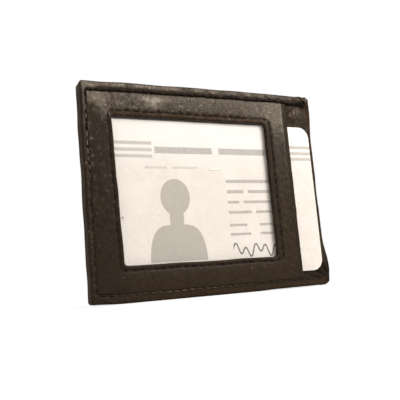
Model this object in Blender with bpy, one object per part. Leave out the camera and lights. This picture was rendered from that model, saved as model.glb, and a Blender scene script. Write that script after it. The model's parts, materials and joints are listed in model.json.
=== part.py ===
"""Card holder with an identity window on its front and a sprung money clip on its back.

Metres, +Z up. The wallet stands on its bottom edge, the window looks along -Y and the pockets open towards +X.
The origin lies on the bottom edge, in the middle of the wallet's width and of its leather body's depth.
"""
import math

import bmesh
import bpy
from mathutils import Vector

# Clearances
SEAT_GAP = 0.0002            # between layers that lie on each other
RUNNING_GAP = 0.0001         # round the hinge pin
RIVET_GAP = 0.00015          # round a rivet and its washer
OVERRUN = 0.002              # how far a cutter runs past what it cuts
SINK = 0.0003                # how far a joined shape reaches into its neighbour

# Identity card, and the room that the pocket leaves round it
CARD_WIDTH = 0.0856
CARD_HEIGHT = 0.0540
CARD_THICKNESS = 0.0004
CARD_CORNER = 0.0042
ROOM_LEFT = 0.0026
ROOM_RIGHT = 0.0018
ROOM_BELOW = 0.0058
ROOM_ABOVE = 0.0117

# Leather body
BODY_WIDTH = ROOM_LEFT + CARD_WIDTH + ROOM_RIGHT
BODY_HEIGHT = ROOM_BELOW + CARD_HEIGHT + ROOM_ABOVE
EDGE_ROUND = 0.0011          # rounding of the turned outer edges
CORNER_TIGHT = 0.0012        # corners in front view, on the sewn side and at the top
CORNER_WORN = 0.0022         # the lower corner on the open side
BORDER_WALL = 0.0009         # leather that turns round the top, bottom and left edges
COVER_THICKNESS = 0.0008
BAND_THICKNESS = 0.0007      # the turned border where it lies on the front
BAND_LEFT = 0.0019
BAND_TOP = 0.0032
BAND_BOTTOM = 0.0029
BAND_CHAMFER = 0.0002
BAND_CORNER = 0.0008
BAND_SETBACK = 0.0018        # how far the border's ends are drawn in at the front of the open side

# Front panel
PANEL_THICKNESS = 0.0007     # skived border under the band
FIELD_RISE = 0.00065         # how far the padded field stands above that border
FIELD_GROOVE = 0.0004        # sewing groove between the band and the field
FIELD_ROUND = 0.0004
FREE_EDGE_SETBACK = 0.0122   # thumb strip between the free edge and the open side
FRAME_LEFT = 0.0107
FRAME_RIGHT = 0.0103
FRAME_TOP = 0.0115
FRAME_BOTTOM = 0.0116
WINDOW_CORNER = 0.0017
RIM_WIDTH = 0.0020           # turned hem round the window
RIM_RISE = 0.00015
RIM_ROUND = 0.0003
HEM_WIDTH = 0.0015           # turned hem along a free edge
HEM_RISE = 0.0001
HEM_FOLD = 0.0002            # how far the front hem's fold stands out behind
HEM_ROUND = 0.00035

# Film and inner layers
FILM_THICKNESS = 0.0002
FILM_MARGIN = 0.0030
CENTRE_THICKNESS = 0.0007
CENTRE_SETBACK = 0.0003      # from the cover's edge on the open side
LINING_THICKNESS = 0.0002
POCKET_GAP = 0.0005
LINING_SETBACK = 0.0014
COVER_HEM_RISE = 0.0005      # turned edge of the rear cover on the open side, inside the pocket
BOARD_THICKNESS = 0.0005
BOARD_SETBACK = 0.0020
LAYER_CORNER = 0.0006

# Money clip
CLIP_WIDTH = 0.0170
PLATE_THICKNESS = 0.0006
PLATE_REACH = 0.0490         # from the hinge pin to the plate's free end
PLATE_TAIL = 0.0071          # behind the pin
PLATE_NOSE = 0.0050          # corner radius at the free end
PLATE_HEEL = 0.0015
HINGE_SETBACK = 0.0160       # from the wallet's left edge to the pin
EAR_THICKNESS = 0.0007
EAR_INSET = 0.00015          # of an ear's face from the edge of its plate
EAR_WALL = 0.0006            # round the pin hole
BASE_EAR_WALL = 0.0008
PIN_RADIUS = 0.0008
PIN_HEAD_RADIUS = 0.00125
PIN_HEAD_HEIGHT = 0.00035
PIN_HEAD_ROUND = 0.00015
ARM_THICKNESS = 0.0006
ARM_CHAMFER = 0.0001
ARM_TAIL = 0.0062            # thumb lever behind the pin
ARM_TAIL_FLARE = 0.0006
ARM_CREST = 0.0020           # flat stretch each side of the pin
ARM_PRESS = 0.0460           # where the arm presses on the plate
ARM_REACH = 0.0540
ARM_LIP_RISE = 0.0022
ARM_PRESS_GAP = 0.0003
ARM_NOSE = 0.0050
ARM_TAIL_CORNER = 0.0020
ARM_WAIST_END = 0.0040       # the arm is narrow up to here, to pass between the ears
ARM_SHOULDER = 0.0045        # length over which it widens

# Torsion spring
WIRE_RADIUS = 0.00025
SPRING_CLEARANCE = 0.0002    # between the wire and the pin, the plate and the arm
SPRING_PITCH = 0.00125
SPRING_CURLS = 7
SPRING_LEG = 0.0052
POINTS_PER_CURL = 10

# Rivets and washers
RIVET_PLACES = (0.0090, 0.0300)
SHANK_RADIUS = 0.0010
RIVET_HEAD_RADIUS = 0.0020
RIVET_HEAD_HEIGHT = 0.00055
TAIL_RADIUS = 0.0016
TAIL_THICKNESS = 0.0002
WASHER_RADIUS = 0.0021
WASHER_THICKNESS = 0.00025

# Counts of steps round arcs and along sheets
CORNER_STEPS = 5
ROUND_STEPS = 24
DOME_STEPS = 4
SHEET_STEPS = 34
NOSE_STEPS = 8

# Layers from the front of the band backwards, measured from the body's middle
BODY_DEPTH = (BAND_THICKNESS + PANEL_THICKNESS + FILM_THICKNESS + CARD_THICKNESS + CENTRE_THICKNESS
              + 2 * LINING_THICKNESS + POCKET_GAP + BOARD_THICKNESS + COVER_THICKNESS + 7 * SEAT_GAP)
BAND_FRONT = -BODY_DEPTH / 2
PANEL_FRONT = BAND_FRONT + BAND_THICKNESS + SEAT_GAP
FILM_FRONT = PANEL_FRONT + PANEL_THICKNESS + SEAT_GAP
CARD_FRONT = FILM_FRONT + FILM_THICKNESS + SEAT_GAP
CENTRE_FRONT = CARD_FRONT + CARD_THICKNESS + SEAT_GAP
LINING_FRONT = CENTRE_FRONT + CENTRE_THICKNESS + SEAT_GAP
BOARD_FRONT = LINING_FRONT + 2 * LINING_THICKNESS + POCKET_GAP + SEAT_GAP
COVER_FRONT = BOARD_FRONT + BOARD_THICKNESS + SEAT_GAP
COVER_BACK = COVER_FRONT + COVER_THICKNESS
PLATE_FRONT = COVER_BACK + SEAT_GAP

# Edges in front view
LEFT = -BODY_WIDTH / 2
RIGHT = BODY_WIDTH / 2
FREE_EDGE = RIGHT - FREE_EDGE_SETBACK
WINDOW = (LEFT + FRAME_LEFT, FREE_EDGE - FRAME_RIGHT, FRAME_BOTTOM, BODY_HEIGHT - FRAME_TOP)
LAYER_LEFT = LEFT + BORDER_WALL + SEAT_GAP
LAYER_BOTTOM = BORDER_WALL + SEAT_GAP
LAYER_TOP = BODY_HEIGHT - BORDER_WALL - SEAT_GAP

# Clip heights above the base plate's outer face
COIL_RADIUS = PIN_RADIUS + SPRING_CLEARANCE + WIRE_RADIUS
PIN_HEIGHT = SPRING_CLEARANCE + WIRE_RADIUS + COIL_RADIUS
ARM_HEIGHT = PIN_HEIGHT + COIL_RADIUS + WIRE_RADIUS + SPRING_CLEARANCE
PIN_HOLE = PIN_RADIUS + RUNNING_GAP
BASE_EAR_INNER = CLIP_WIDTH / 2 - EAR_INSET - EAR_THICKNESS
ARM_WAIST = BASE_EAR_INNER - SEAT_GAP

# Colours, linear
LEATHER = (0.040, 0.029, 0.021)
CARD_WHITE = (0.90, 0.87, 0.82)
FILM_CLEAR = (0.86, 0.87, 0.86)
LINING_BROWN = (0.030, 0.023, 0.018)
BOARD_GREY = (0.23, 0.20, 0.17)
STEEL = (0.62, 0.62, 0.61)
WIRE_STEEL = (0.42, 0.42, 0.43)
RIVET_NICKEL = (0.56, 0.55, 0.52)


def clear_scene():
    """Remove whatever the scene holds."""
    for obj in list(bpy.data.objects):
        bpy.data.objects.remove(obj, do_unlink=True)


def make_material(name, colour, roughness, metallic=0.0):
    """A Principled material with one colour."""
    material = bpy.data.materials.new(name)
    material.use_nodes = True
    shader = material.node_tree.nodes["Principled BSDF"]
    shader.inputs["Base Color"].default_value = (*colour, 1.0)
    shader.inputs["Roughness"].default_value = roughness
    shader.inputs["Metallic"].default_value = metallic
    material.diffuse_color = (*colour, 1.0)
    return material


def make_object(name, bm, material=None, location=(0.0, 0.0, 0.0), parent=None):
    """Turn a bmesh into a named object, its faces pointing out and its round parts smooth."""
    bmesh.ops.recalc_face_normals(bm, faces=bm.faces)
    mesh = bpy.data.meshes.new(name)
    bm.to_mesh(mesh)
    bm.free()
    mesh.shade_smooth()
    mesh.set_sharp_from_angle(angle=math.radians(35.0))
    obj = bpy.data.objects.new(name, mesh)
    bpy.context.scene.collection.objects.link(obj)
    obj.location = location
    obj.parent = parent
    if material is not None:
        mesh.materials.append(material)
    return obj


def make_empty(name, location, parent=None):
    """A parent for the pieces of one assembly."""
    empty = bpy.data.objects.new(name, None)
    bpy.context.scene.collection.objects.link(empty)
    empty.location = location
    empty.parent = parent
    return empty


def combine(target, tool, operation):
    """Cut, or join, a target with a helper shape that isn't part of the model itself."""
    tool.hide_render = True
    tool.display_type = "WIRE"
    modifier = target.modifiers.new(tool.name, "BOOLEAN")
    modifier.operation = operation
    modifier.solver = "EXACT"
    modifier.object = tool


def outline(box, radii, steps=CORNER_STEPS):
    """Points (x, z) round a rectangle (left, right, bottom, top), its corners rounded one by one.

    The radii run from the lower left corner to the lower right, upper right and upper left ones.
    """
    left, right, bottom, top = box
    corners = ((left, bottom, 1, 1), (right, bottom, -1, 1), (right, top, -1, -1), (left, top, 1, -1))
    points = []
    for index, ((x, z, inward_x, inward_z), radius) in enumerate(zip(corners, radii)):
        start = math.pi + index * math.pi / 2
        for step in range(steps + 1):
            angle = start + step / steps * math.pi / 2
            points.append((x + inward_x * radius + radius * math.cos(angle),
                           z + inward_z * radius + radius * math.sin(angle)))
    return points


def grown(box, amount):
    """A rectangle with each side moved outwards."""
    left, right, bottom, top = box
    return (left - amount, right + amount, bottom - amount, top + amount)


def add_ring(bm, points, depth):
    """One ring of vertices at a depth along Y."""
    return [bm.verts.new((x, depth, z)) for x, z in points]


def bridge(bm, first, second):
    """Join two rings of as many vertices with a band of quads."""
    count = len(first)
    for index in range(count):
        after = (index + 1) % count
        bm.faces.new((first[index], first[after], second[after], second[index]))


def loft(rings, endless=False):
    """A closed solid through rings of (points, depth), capped or joined end to start."""
    bm = bmesh.new()
    layers = [add_ring(bm, points, depth) for points, depth in rings]
    for first, second in zip(layers, layers[1:]):
        bridge(bm, first, second)
    if endless:
        bridge(bm, layers[-1], layers[0])
    else:
        bm.faces.new(layers[0])
        bm.faces.new(layers[-1])
    return bm


def prism(points, front, back):
    """An outline extruded along Y."""
    return loft([(points, front), (points, back)])


def rounded_slab(box, radii, front, back, rounding, steps=3):
    """A slab whose front and back rims are rounded."""
    rings = []
    for step in range(steps + 1):
        angle = step / steps * math.pi / 2
        inset = rounding * (1 - math.sin(angle))
        rings.append((inset, front + rounding * (1 - math.cos(angle))))
    mirrored = [(inset, front + back - depth) for inset, depth in reversed(rings)]
    tightened = [[max(radius - inset, radius / 4) for radius in radii] for inset, _ in rings + mirrored]
    return loft([(outline(grown(box, -inset), corner), depth)
                 for (inset, depth), corner in zip(rings + mirrored, tightened)])


def turned(profile, steps=ROUND_STEPS):
    """A closed solid turned about Z, from a profile of (radius, height) that starts and ends on the axis."""
    bm = bmesh.new()
    previous = None
    for radius, height in profile:
        if radius > 0:
            angles = [2 * math.pi * step / steps for step in range(steps)]
            ring = [bm.verts.new((radius * math.cos(a), radius * math.sin(a), height)) for a in angles]
        else:
            ring = [bm.verts.new((0.0, 0.0, height))]
        if previous is not None:
            join_turned_rings(bm, previous, ring)
        previous = ring
    return bm


def join_turned_rings(bm, first, second):
    """Quads between two rings, or a fan where one of them is a point on the axis."""
    if len(first) > 1 and len(second) > 1:
        bridge(bm, first, second)
        return
    apex, ring = (first[0], second) if len(first) == 1 else (second[0], first)
    for index, vertex in enumerate(ring):
        bm.faces.new((apex, vertex, ring[(index + 1) % len(ring)]))


def cylinder_along_z(name, radius, low, high, location, parent):
    """A helper cylinder, for a hole."""
    bm = turned([(0.0, low), (radius, low), (radius, high), (0.0, high)])
    return make_object(name, bm, location=location, parent=parent)


def cylinder_along_y(name, radius, front, back, location, parent):
    """A helper cylinder across the layers, for a rivet hole."""
    angles = [2 * math.pi * step / ROUND_STEPS for step in range(ROUND_STEPS)]
    points = [(radius * math.cos(angle), radius * math.sin(angle)) for angle in angles]
    return make_object(name, prism(points, front, back), location=location, parent=parent)


def rivet_holes(target, radius, front, back, clip):
    """Cut both rivet holes through one layer."""
    for number, along in enumerate(RIVET_PLACES, start=1):
        name = f"{target.name}_hole_{number}"
        combine(target, cylinder_along_y(name, radius, front, back, (along, 0.0, 0.0), clip), "DIFFERENCE")


def hem_bar(name, edge, width, low, high, front, back):
    """A leather edge turned over on itself, as a rounded bar along Z that ends at a free edge."""
    box = (edge - width, edge, low, high)
    return make_object(name, rounded_slab(box, [HEM_ROUND] * 4, front, back, HEM_ROUND))


def build_rear_cover(leather, wallet, clip):
    """Back of the wallet, whose leather turns round three edges and laps over the front as a border."""
    box = (LEFT, RIGHT, 0.0, BODY_HEIGHT)
    radii = (CORNER_TIGHT, CORNER_WORN, CORNER_TIGHT, CORNER_TIGHT)
    cover = make_object("rear_cover", rounded_slab(box, radii, 0.0, BODY_DEPTH, EDGE_ROUND), leather,
                        (0.0, BAND_FRONT, 0.0), wallet)

    inside = (LEFT + BORDER_WALL, RIGHT + OVERRUN, BORDER_WALL, BODY_HEIGHT - BORDER_WALL)
    cavity = prism(outline(inside, [LAYER_CORNER] * 4), BAND_FRONT + BAND_THICKNESS, COVER_FRONT)
    combine(cover, make_object("rear_cover_cavity", cavity), "DIFFERENCE")

    face = (LEFT + BAND_LEFT, RIGHT + OVERRUN, BAND_BOTTOM, BODY_HEIGHT - BAND_TOP)
    flared = outline(grown(face, BAND_CHAMFER), [BAND_CORNER + BAND_CHAMFER] * 4)
    straight = outline(face, [BAND_CORNER] * 4)
    opening = loft([(flared, BAND_FRONT - OVERRUN), (flared, BAND_FRONT), (straight, BAND_FRONT + BAND_CHAMFER),
                    (straight, BAND_FRONT + BAND_THICKNESS + SINK)])
    combine(cover, make_object("rear_cover_face", opening), "DIFFERENCE")

    steepness = BAND_SETBACK / (CENTRE_FRONT - BAND_FRONT)
    ends = [(outline((RIGHT - steepness * (CENTRE_FRONT - depth), RIGHT + OVERRUN, -OVERRUN, BODY_HEIGHT + OVERRUN),
                     [LAYER_CORNER] * 4), depth) for depth in (BAND_FRONT - OVERRUN, CENTRE_FRONT)]
    combine(cover, make_object("rear_cover_ends", loft(ends)), "DIFFERENCE")

    low, high = BORDER_WALL + SEAT_GAP, BODY_HEIGHT - BORDER_WALL - SEAT_GAP
    hem = hem_bar("rear_cover_hem", RIGHT - EDGE_ROUND / 4, LINING_SETBACK - SEAT_GAP - EDGE_ROUND / 4, low, high,
                  COVER_FRONT - COVER_HEM_RISE, COVER_FRONT + COVER_THICKNESS / 2)
    combine(cover, hem, "UNION")
    rivet_holes(cover, SHANK_RADIUS + RIVET_GAP, -OVERRUN - PLATE_THICKNESS, OVERRUN, clip)
    return cover


def front_panel_rings():
    """Rings round the window, from its back edge over the rim, the field and the skived border to the back."""
    back = PANEL_THICKNESS
    field = -FIELD_RISE
    rim = field - RIM_RISE
    inner = (LEFT + BAND_LEFT + FIELD_GROOVE, FREE_EDGE - HEM_WIDTH / 2, BAND_BOTTOM + FIELD_GROOVE,
             BODY_HEIGHT - BAND_TOP - FIELD_GROOVE)
    outer = (LAYER_LEFT, FREE_EDGE - HEM_WIDTH / 3, LAYER_BOTTOM, LAYER_TOP)
    window_radii = [WINDOW_CORNER] * 4
    field_radii = [BAND_CORNER] * 4

    rings = [(outline(WINDOW, window_radii), back)]
    for step in range(4):
        angle = step / 3 * math.pi / 2
        offset = RIM_ROUND * (1 - math.cos(angle))
        depth = rim + RIM_ROUND * (1 - math.sin(angle))
        rings.append((outline(grown(WINDOW, offset), window_radii), depth))
    rings.append((outline(grown(WINDOW, RIM_WIDTH), window_radii), rim))
    rings.append((outline(grown(WINDOW, RIM_WIDTH + RIM_RISE), window_radii), field))
    for step in range(4):
        angle = step / 3 * math.pi / 2
        inset = FIELD_ROUND * (1 - math.sin(angle))
        depth = field + FIELD_ROUND * (1 - math.cos(angle))
        rings.append((outline(grown(inner, -inset), field_radii), depth))
    rings.append((outline(inner, field_radii), 0.0))
    rings.append((outline(outer, [LAYER_CORNER] * 4), 0.0))
    rings.append((outline(outer, [LAYER_CORNER] * 4), back))
    return rings


def build_front_panel(leather, wallet):
    """Padded panel with the window, sewn under the border on three sides and free on the open side."""
    panel = make_object("front_panel", loft(front_panel_rings(), endless=True), leather,
                        (0.0, PANEL_FRONT, 0.0), wallet)
    hem = hem_bar("front_panel_hem", FREE_EDGE, HEM_WIDTH, BAND_BOTTOM + FIELD_GROOVE,
                  BODY_HEIGHT - BAND_TOP - FIELD_GROOVE, PANEL_FRONT - FIELD_RISE - HEM_RISE,
                  PANEL_FRONT + PANEL_THICKNESS + HEM_FOLD)
    combine(panel, hem, "UNION")
    return panel


def build_window_film(film, wallet):
    """Clear film behind the window."""
    shape = prism(outline(grown(WINDOW, FILM_MARGIN), [WINDOW_CORNER] * 4), 0.0, FILM_THICKNESS)
    return make_object("window_film", shape, film, (0.0, FILM_FRONT, 0.0), wallet)


def build_id_card(paper, wallet):
    """Identity card insert, with its origin at its own middle, on the line that it slides along."""
    box = (-CARD_WIDTH / 2, CARD_WIDTH / 2, -CARD_HEIGHT / 2, CARD_HEIGHT / 2)
    shape = prism(outline(box, [CARD_CORNER] * 4, 2 * CORNER_STEPS), 0.0, CARD_THICKNESS)
    place = (LEFT + ROOM_LEFT + CARD_WIDTH / 2, CARD_FRONT, ROOM_BELOW + CARD_HEIGHT / 2)
    return make_object("id_card", shape, paper, place, wallet)


def build_centre_panel(leather, wallet):
    """Leather wall behind the identity card, with a turned hem along the open side."""
    edge = RIGHT - CENTRE_SETBACK
    hem_width = ROOM_RIGHT - CENTRE_SETBACK - SEAT_GAP
    box = (LAYER_LEFT, edge - hem_width / 2, LAYER_BOTTOM, LAYER_TOP)
    panel = make_object("centre_panel", prism(outline(box, [LAYER_CORNER] * 4), 0.0, CENTRE_THICKNESS),
                        leather, (0.0, CENTRE_FRONT, 0.0), wallet)
    hem = hem_bar("centre_panel_hem", edge, hem_width, LAYER_BOTTOM + LAYER_CORNER, LAYER_TOP - LAYER_CORNER,
                  CENTRE_FRONT - HEM_RISE, CENTRE_FRONT + CENTRE_THICKNESS + HEM_RISE)
    combine(panel, hem, "UNION")
    return panel


def build_pocket_linings(fabric, wallet):
    """Two sheets of lining with the card pocket between them, sewn into the border on three sides."""
    box = (LAYER_LEFT, RIGHT - LINING_SETBACK, LAYER_BOTTOM, LAYER_TOP)
    for name, front in (("front", LINING_FRONT), ("back", LINING_FRONT + LINING_THICKNESS + POCKET_GAP)):
        sheet = prism(outline(box, [LAYER_CORNER] * 4), 0.0, LINING_THICKNESS)
        make_object(f"pocket_lining_{name}", sheet, fabric, (0.0, front, 0.0), wallet)


def build_stiffener_board(board, wallet, clip):
    """Board that spreads the clip's load, with room for the washers."""
    box = (LAYER_LEFT, RIGHT - BOARD_SETBACK, LAYER_BOTTOM, LAYER_TOP)
    stiffener = make_object("stiffener_board", prism(outline(box, [LAYER_CORNER] * 4), 0.0, BOARD_THICKNESS),
                            board, (0.0, BOARD_FRONT, 0.0), wallet)
    depth = PLATE_FRONT + PLATE_THICKNESS - BOARD_FRONT
    rivet_holes(stiffener, WASHER_RADIUS + SEAT_GAP, -depth - OVERRUN, -depth + BOARD_THICKNESS + SINK / 2, clip)
    return stiffener


def ear(name, radius, far_edge, middle, clip):
    """A cheek round the pin: a half disc in the clip's plane, run straight on to the plate that carries it."""
    side = 1 if far_edge > PIN_HEIGHT else -1
    steps = ROUND_STEPS // 2
    arc = [math.pi * step / steps for step in range(steps + 1)]
    points = [(radius * math.cos(angle), PIN_HEIGHT - side * radius * math.sin(angle)) for angle in arc]
    points += [(-radius, far_edge), (radius, far_edge)]
    bm = bmesh.new()
    rings = [[bm.verts.new((x, y, z)) for x, y in points]
             for z in (middle - EAR_THICKNESS / 2, middle + EAR_THICKNESS / 2)]
    bridge(bm, rings[0], rings[1])
    for ring in rings:
        bm.faces.new(ring)
    return make_object(name, bm, parent=clip)


def pin_hole(name, clip):
    """Helper cylinder for the hole that takes the hinge pin."""
    return cylinder_along_z(name, PIN_HOLE, -CLIP_WIDTH, CLIP_WIDTH, (0.0, PIN_HEIGHT, 0.0), clip)


def build_base_plate(steel, clip):
    """Flat plate riveted to the rear cover, with a cheek at each end of the pin."""
    box = (-PLATE_TAIL, PLATE_REACH, -CLIP_WIDTH / 2, CLIP_WIDTH / 2)
    radii = (PLATE_HEEL, PLATE_NOSE, PLATE_NOSE, PLATE_HEEL)
    shape = prism(outline(box, radii, NOSE_STEPS), -PLATE_THICKNESS, 0.0)
    plate = make_object("clip_base_plate", shape, steel, parent=clip)
    for name, side in (("lower", -1), ("upper", 1)):
        middle = side * (BASE_EAR_INNER + EAR_THICKNESS / 2)
        cheek = ear(f"base_ear_{name}", PIN_HOLE + BASE_EAR_WALL, -PLATE_THICKNESS / 2, middle, clip)
        combine(plate, cheek, "UNION")
    combine(plate, pin_hole("base_pin_hole", clip), "DIFFERENCE")
    rivet_holes(plate, SHANK_RADIUS + RIVET_GAP, -PLATE_THICKNESS - OVERRUN, OVERRUN, clip)
    return plate


def arm_height(x):
    """Height of the arm's inner face above the plate, along the clip."""
    if x < -ARM_CREST:
        share = (-ARM_CREST - x) / (ARM_TAIL - ARM_CREST)
        return ARM_HEIGHT + ARM_TAIL_FLARE * share ** 2
    if x < ARM_CREST:
        return ARM_HEIGHT
    if x < ARM_PRESS:
        share = (x - ARM_CREST) / (ARM_PRESS - ARM_CREST)
        return ARM_PRESS_GAP + (ARM_HEIGHT - ARM_PRESS_GAP) * (1 + math.cos(math.pi * share)) / 2
    share = (x - ARM_PRESS) / (ARM_REACH - ARM_PRESS)
    return ARM_PRESS_GAP + ARM_LIP_RISE * share ** 2


def arm_half_width(x):
    """Half the arm's width: narrow between the cheeks, full beyond them, rounded at both ends."""
    full = CLIP_WIDTH / 2
    share = min(max((x - ARM_WAIST_END) / ARM_SHOULDER, 0.0), 1.0)
    width = ARM_WAIST + (full - ARM_WAIST) * (1 - math.cos(math.pi * share)) / 2
    for end, radius in ((ARM_REACH - x, ARM_NOSE), (x + ARM_TAIL, ARM_TAIL_CORNER)):
        if end < radius:
            width -= radius - math.sqrt(radius ** 2 - (radius - end) ** 2)
    return width


def arm_stations():
    """Places along the arm, closer together where its ends are rounded."""
    nose = [ARM_REACH - ARM_NOSE * (1 - math.sin(math.pi / 2 * step / NOSE_STEPS)) for step in range(NOSE_STEPS + 1)]
    tail = [-ARM_TAIL + ARM_TAIL_CORNER * (1 - math.cos(math.pi / 2 * step / CORNER_STEPS))
            for step in range(CORNER_STEPS + 1)]
    start, end = tail[-1], nose[0]
    middle = [start + (end - start) * step / SHEET_STEPS for step in range(1, SHEET_STEPS)]
    return tail + middle + nose


def arm_section(x):
    """Chamfered cross-section of the arm at one station, square to its centre line."""
    step = ARM_CHAMFER
    slope = (arm_height(x + step) - arm_height(x - step)) / (2 * step)
    along = Vector((1.0, slope, 0.0)).normalized()
    out = Vector((-along.y, along.x, 0.0))
    inner = Vector((x, arm_height(x), 0.0)) - Vector((0.0, PIN_HEIGHT, 0.0))
    half = arm_half_width(x)
    corners = []
    for side, chamfers in ((-1, ((0, 1), (1, 0))), (1, ((1, 0), (0, 1)))):
        heights = (0.0, ARM_THICKNESS) if side < 0 else (ARM_THICKNESS, 0.0)
        for height in heights:
            inward = ARM_CHAMFER if height == 0.0 else -ARM_CHAMFER
            pairs = [(height, half - ARM_CHAMFER), (height + inward, half)]
            for lift, reach in (pairs if (side < 0) == (height == 0.0) else reversed(pairs)):
                corners.append(inner + out * lift + Vector((0.0, 0.0, side * reach)))
    return corners


def build_arm(steel, clip):
    """Sprung arm of bent sheet with a thumb lever behind the pin, its origin on the pin's axis."""
    bm = bmesh.new()
    rings = [[bm.verts.new(point) for point in arm_section(x)] for x in arm_stations()]
    for first, second in zip(rings, rings[1:]):
        bridge(bm, first, second)
    bm.faces.new(rings[0])
    bm.faces.new(rings[-1])
    arm = make_object("clip_arm", bm, steel, (0.0, PIN_HEIGHT, 0.0), clip)
    for name, side in (("lower", -1), ("upper", 1)):
        middle = side * (ARM_WAIST - EAR_INSET - EAR_THICKNESS / 2)
        combine(arm, ear(f"arm_ear_{name}", PIN_HOLE + EAR_WALL, ARM_HEIGHT + ARM_THICKNESS / 2, middle, clip), "UNION")
    combine(arm, pin_hole("arm_pin_hole", clip), "DIFFERENCE")
    return arm


def build_pin(steel, clip):
    """Hinge pin along Z with a peened head at each end."""
    seat = CLIP_WIDTH / 2 - EAR_INSET + RUNNING_GAP
    top = seat + PIN_HEAD_HEIGHT
    shoulder = PIN_HEAD_RADIUS - PIN_HEAD_ROUND
    upper = [(PIN_RADIUS, seat), (PIN_HEAD_RADIUS, seat), (PIN_HEAD_RADIUS, top - PIN_HEAD_ROUND), (shoulder, top),
             (0.0, top)]
    lower = [(radius, -height) for radius, height in reversed(upper)]
    return make_object("clip_hinge_pin", turned(lower + upper), steel, (0.0, PIN_HEIGHT, 0.0), clip)


def spring_points():
    """Centre line of the torsion spring: a leg on the plate, the curls round the pin, a leg under the lever."""
    count = SPRING_CURLS * POINTS_PER_CURL + POINTS_PER_CURL // 2
    length = SPRING_PITCH * count / POINTS_PER_CURL
    curls = []
    for step in range(count + 1):
        angle = -math.pi / 2 + 2 * math.pi * step / POINTS_PER_CURL
        curls.append(Vector((COIL_RADIUS * math.cos(angle), COIL_RADIUS * math.sin(angle),
                             -length / 2 + length * step / count)))
    first = [Vector((-SPRING_LEG * (3 - step) / 3, -COIL_RADIUS, -length / 2)) for step in range(3)]
    last = []
    for step in range(1, 4):
        x = -SPRING_LEG * step / 3
        height = arm_height(x) - SPRING_CLEARANCE - WIRE_RADIUS - PIN_HEIGHT
        last.append(Vector((x, height, length / 2)))
    return first + curls + last


def least_gap(points):
    """Least distance from the wire to itself, between points at least half a curl apart along it."""
    apart = POINTS_PER_CURL // 2
    nearest = min((a - b).length for i, a in enumerate(points) for b in points[i + apart:])
    return nearest - 2 * WIRE_RADIUS


def build_spring(wire, clip):
    """Torsion spring as one unbroken wire."""
    points = spring_points()
    print(f"clip_spring: least gap to itself {least_gap(points):.5f} m")
    curve = bpy.data.curves.new("clip_spring", "CURVE")
    curve.dimensions = "3D"
    curve.bevel_depth = WIRE_RADIUS
    curve.bevel_resolution = 1
    curve.use_fill_caps = True
    spline = curve.splines.new("POLY")
    spline.points.add(len(points) - 1)
    for target, point in zip(spline.points, points):
        target.co = (*point, 1.0)
    curve.materials.append(wire)
    spring = bpy.data.objects.new("clip_spring", curve)
    bpy.context.scene.collection.objects.link(spring)
    spring.location = (0.0, PIN_HEIGHT, 0.0)
    spring.parent = clip
    return spring


def build_rivet(name, along, nickel, clip):
    """Rivet from a domed head on the plate through cover and board to the tail spread over the washer."""
    seat = SEAT_GAP
    dome = [(RIVET_HEAD_RADIUS * math.cos(math.pi / 2 * step / DOME_STEPS),
             seat + RIVET_HEAD_HEIGHT * math.sin(math.pi / 2 * step / DOME_STEPS)) for step in range(DOME_STEPS)]
    cover_inside = COVER_FRONT - PLATE_FRONT - PLATE_THICKNESS
    tail_top = cover_inside - RIVET_GAP - WASHER_THICKNESS - RIVET_GAP
    tail_end = tail_top - TAIL_THICKNESS
    profile = [(0.0, tail_end), (TAIL_RADIUS, tail_end), (TAIL_RADIUS, tail_top), (SHANK_RADIUS, tail_top),
               (SHANK_RADIUS, seat), *dome, (0.0, seat + RIVET_HEAD_HEIGHT)]
    rivet = make_object(name, turned(profile), nickel, (along, 0.0, 0.0), clip)
    rivet.rotation_euler = (-math.pi / 2, 0.0, 0.0)
    return rivet


def build_washer(name, along, nickel, clip):
    """Washer between the cover's inner face and the rivet's tail."""
    inner, outer = SHANK_RADIUS + RIVET_GAP, WASHER_RADIUS
    back = COVER_FRONT - PLATE_FRONT - PLATE_THICKNESS - RIVET_GAP
    front = back - WASHER_THICKNESS
    angles = [2 * math.pi * step / ROUND_STEPS for step in range(ROUND_STEPS)]
    rings = [([(radius * math.cos(a), radius * math.sin(a)) for a in angles], depth)
             for radius, depth in ((inner, front), (outer, front), (outer, back), (inner, back))]
    return make_object(name, loft(rings, endless=True), nickel, (along, 0.0, 0.0), clip)


def build_clip(steel, wire, nickel, clip):
    """All pieces of the money clip, carried by one empty on the base plate's outer face under the pin."""
    build_base_plate(steel, clip)
    build_arm(steel, clip)
    build_pin(steel, clip)
    build_spring(wire, clip)
    for name, along in zip(("hinge", "nose"), RIVET_PLACES):
        build_rivet(f"clip_rivet_{name}", along, nickel, clip)
        build_washer(f"rivet_washer_{name}", along, nickel, clip)


def main():
    """Build the wallet from the outside in, then the clip."""
    clear_scene()
    leather = make_material("leather", LEATHER, 0.55)
    wallet = make_empty("wallet", (0.0, 0.0, 0.0))
    clip = make_empty("money_clip", (LEFT + HINGE_SETBACK, PLATE_FRONT + PLATE_THICKNESS, BODY_HEIGHT / 2), wallet)

    build_rear_cover(leather, wallet, clip)
    build_front_panel(leather, wallet)
    build_window_film(make_material("film", FILM_CLEAR, 0.08), wallet)
    build_id_card(make_material("card", CARD_WHITE, 0.6), wallet)
    build_centre_panel(leather, wallet)
    build_pocket_linings(make_material("lining", LINING_BROWN, 0.85), wallet)
    build_stiffener_board(make_material("board", BOARD_GREY, 0.9), wallet, clip)
    build_clip(make_material("steel", STEEL, 0.22, 1.0), make_material("wire", WIRE_STEEL, 0.3, 1.0),
               make_material("nickel", RIVET_NICKEL, 0.28, 1.0), clip)


main()
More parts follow.
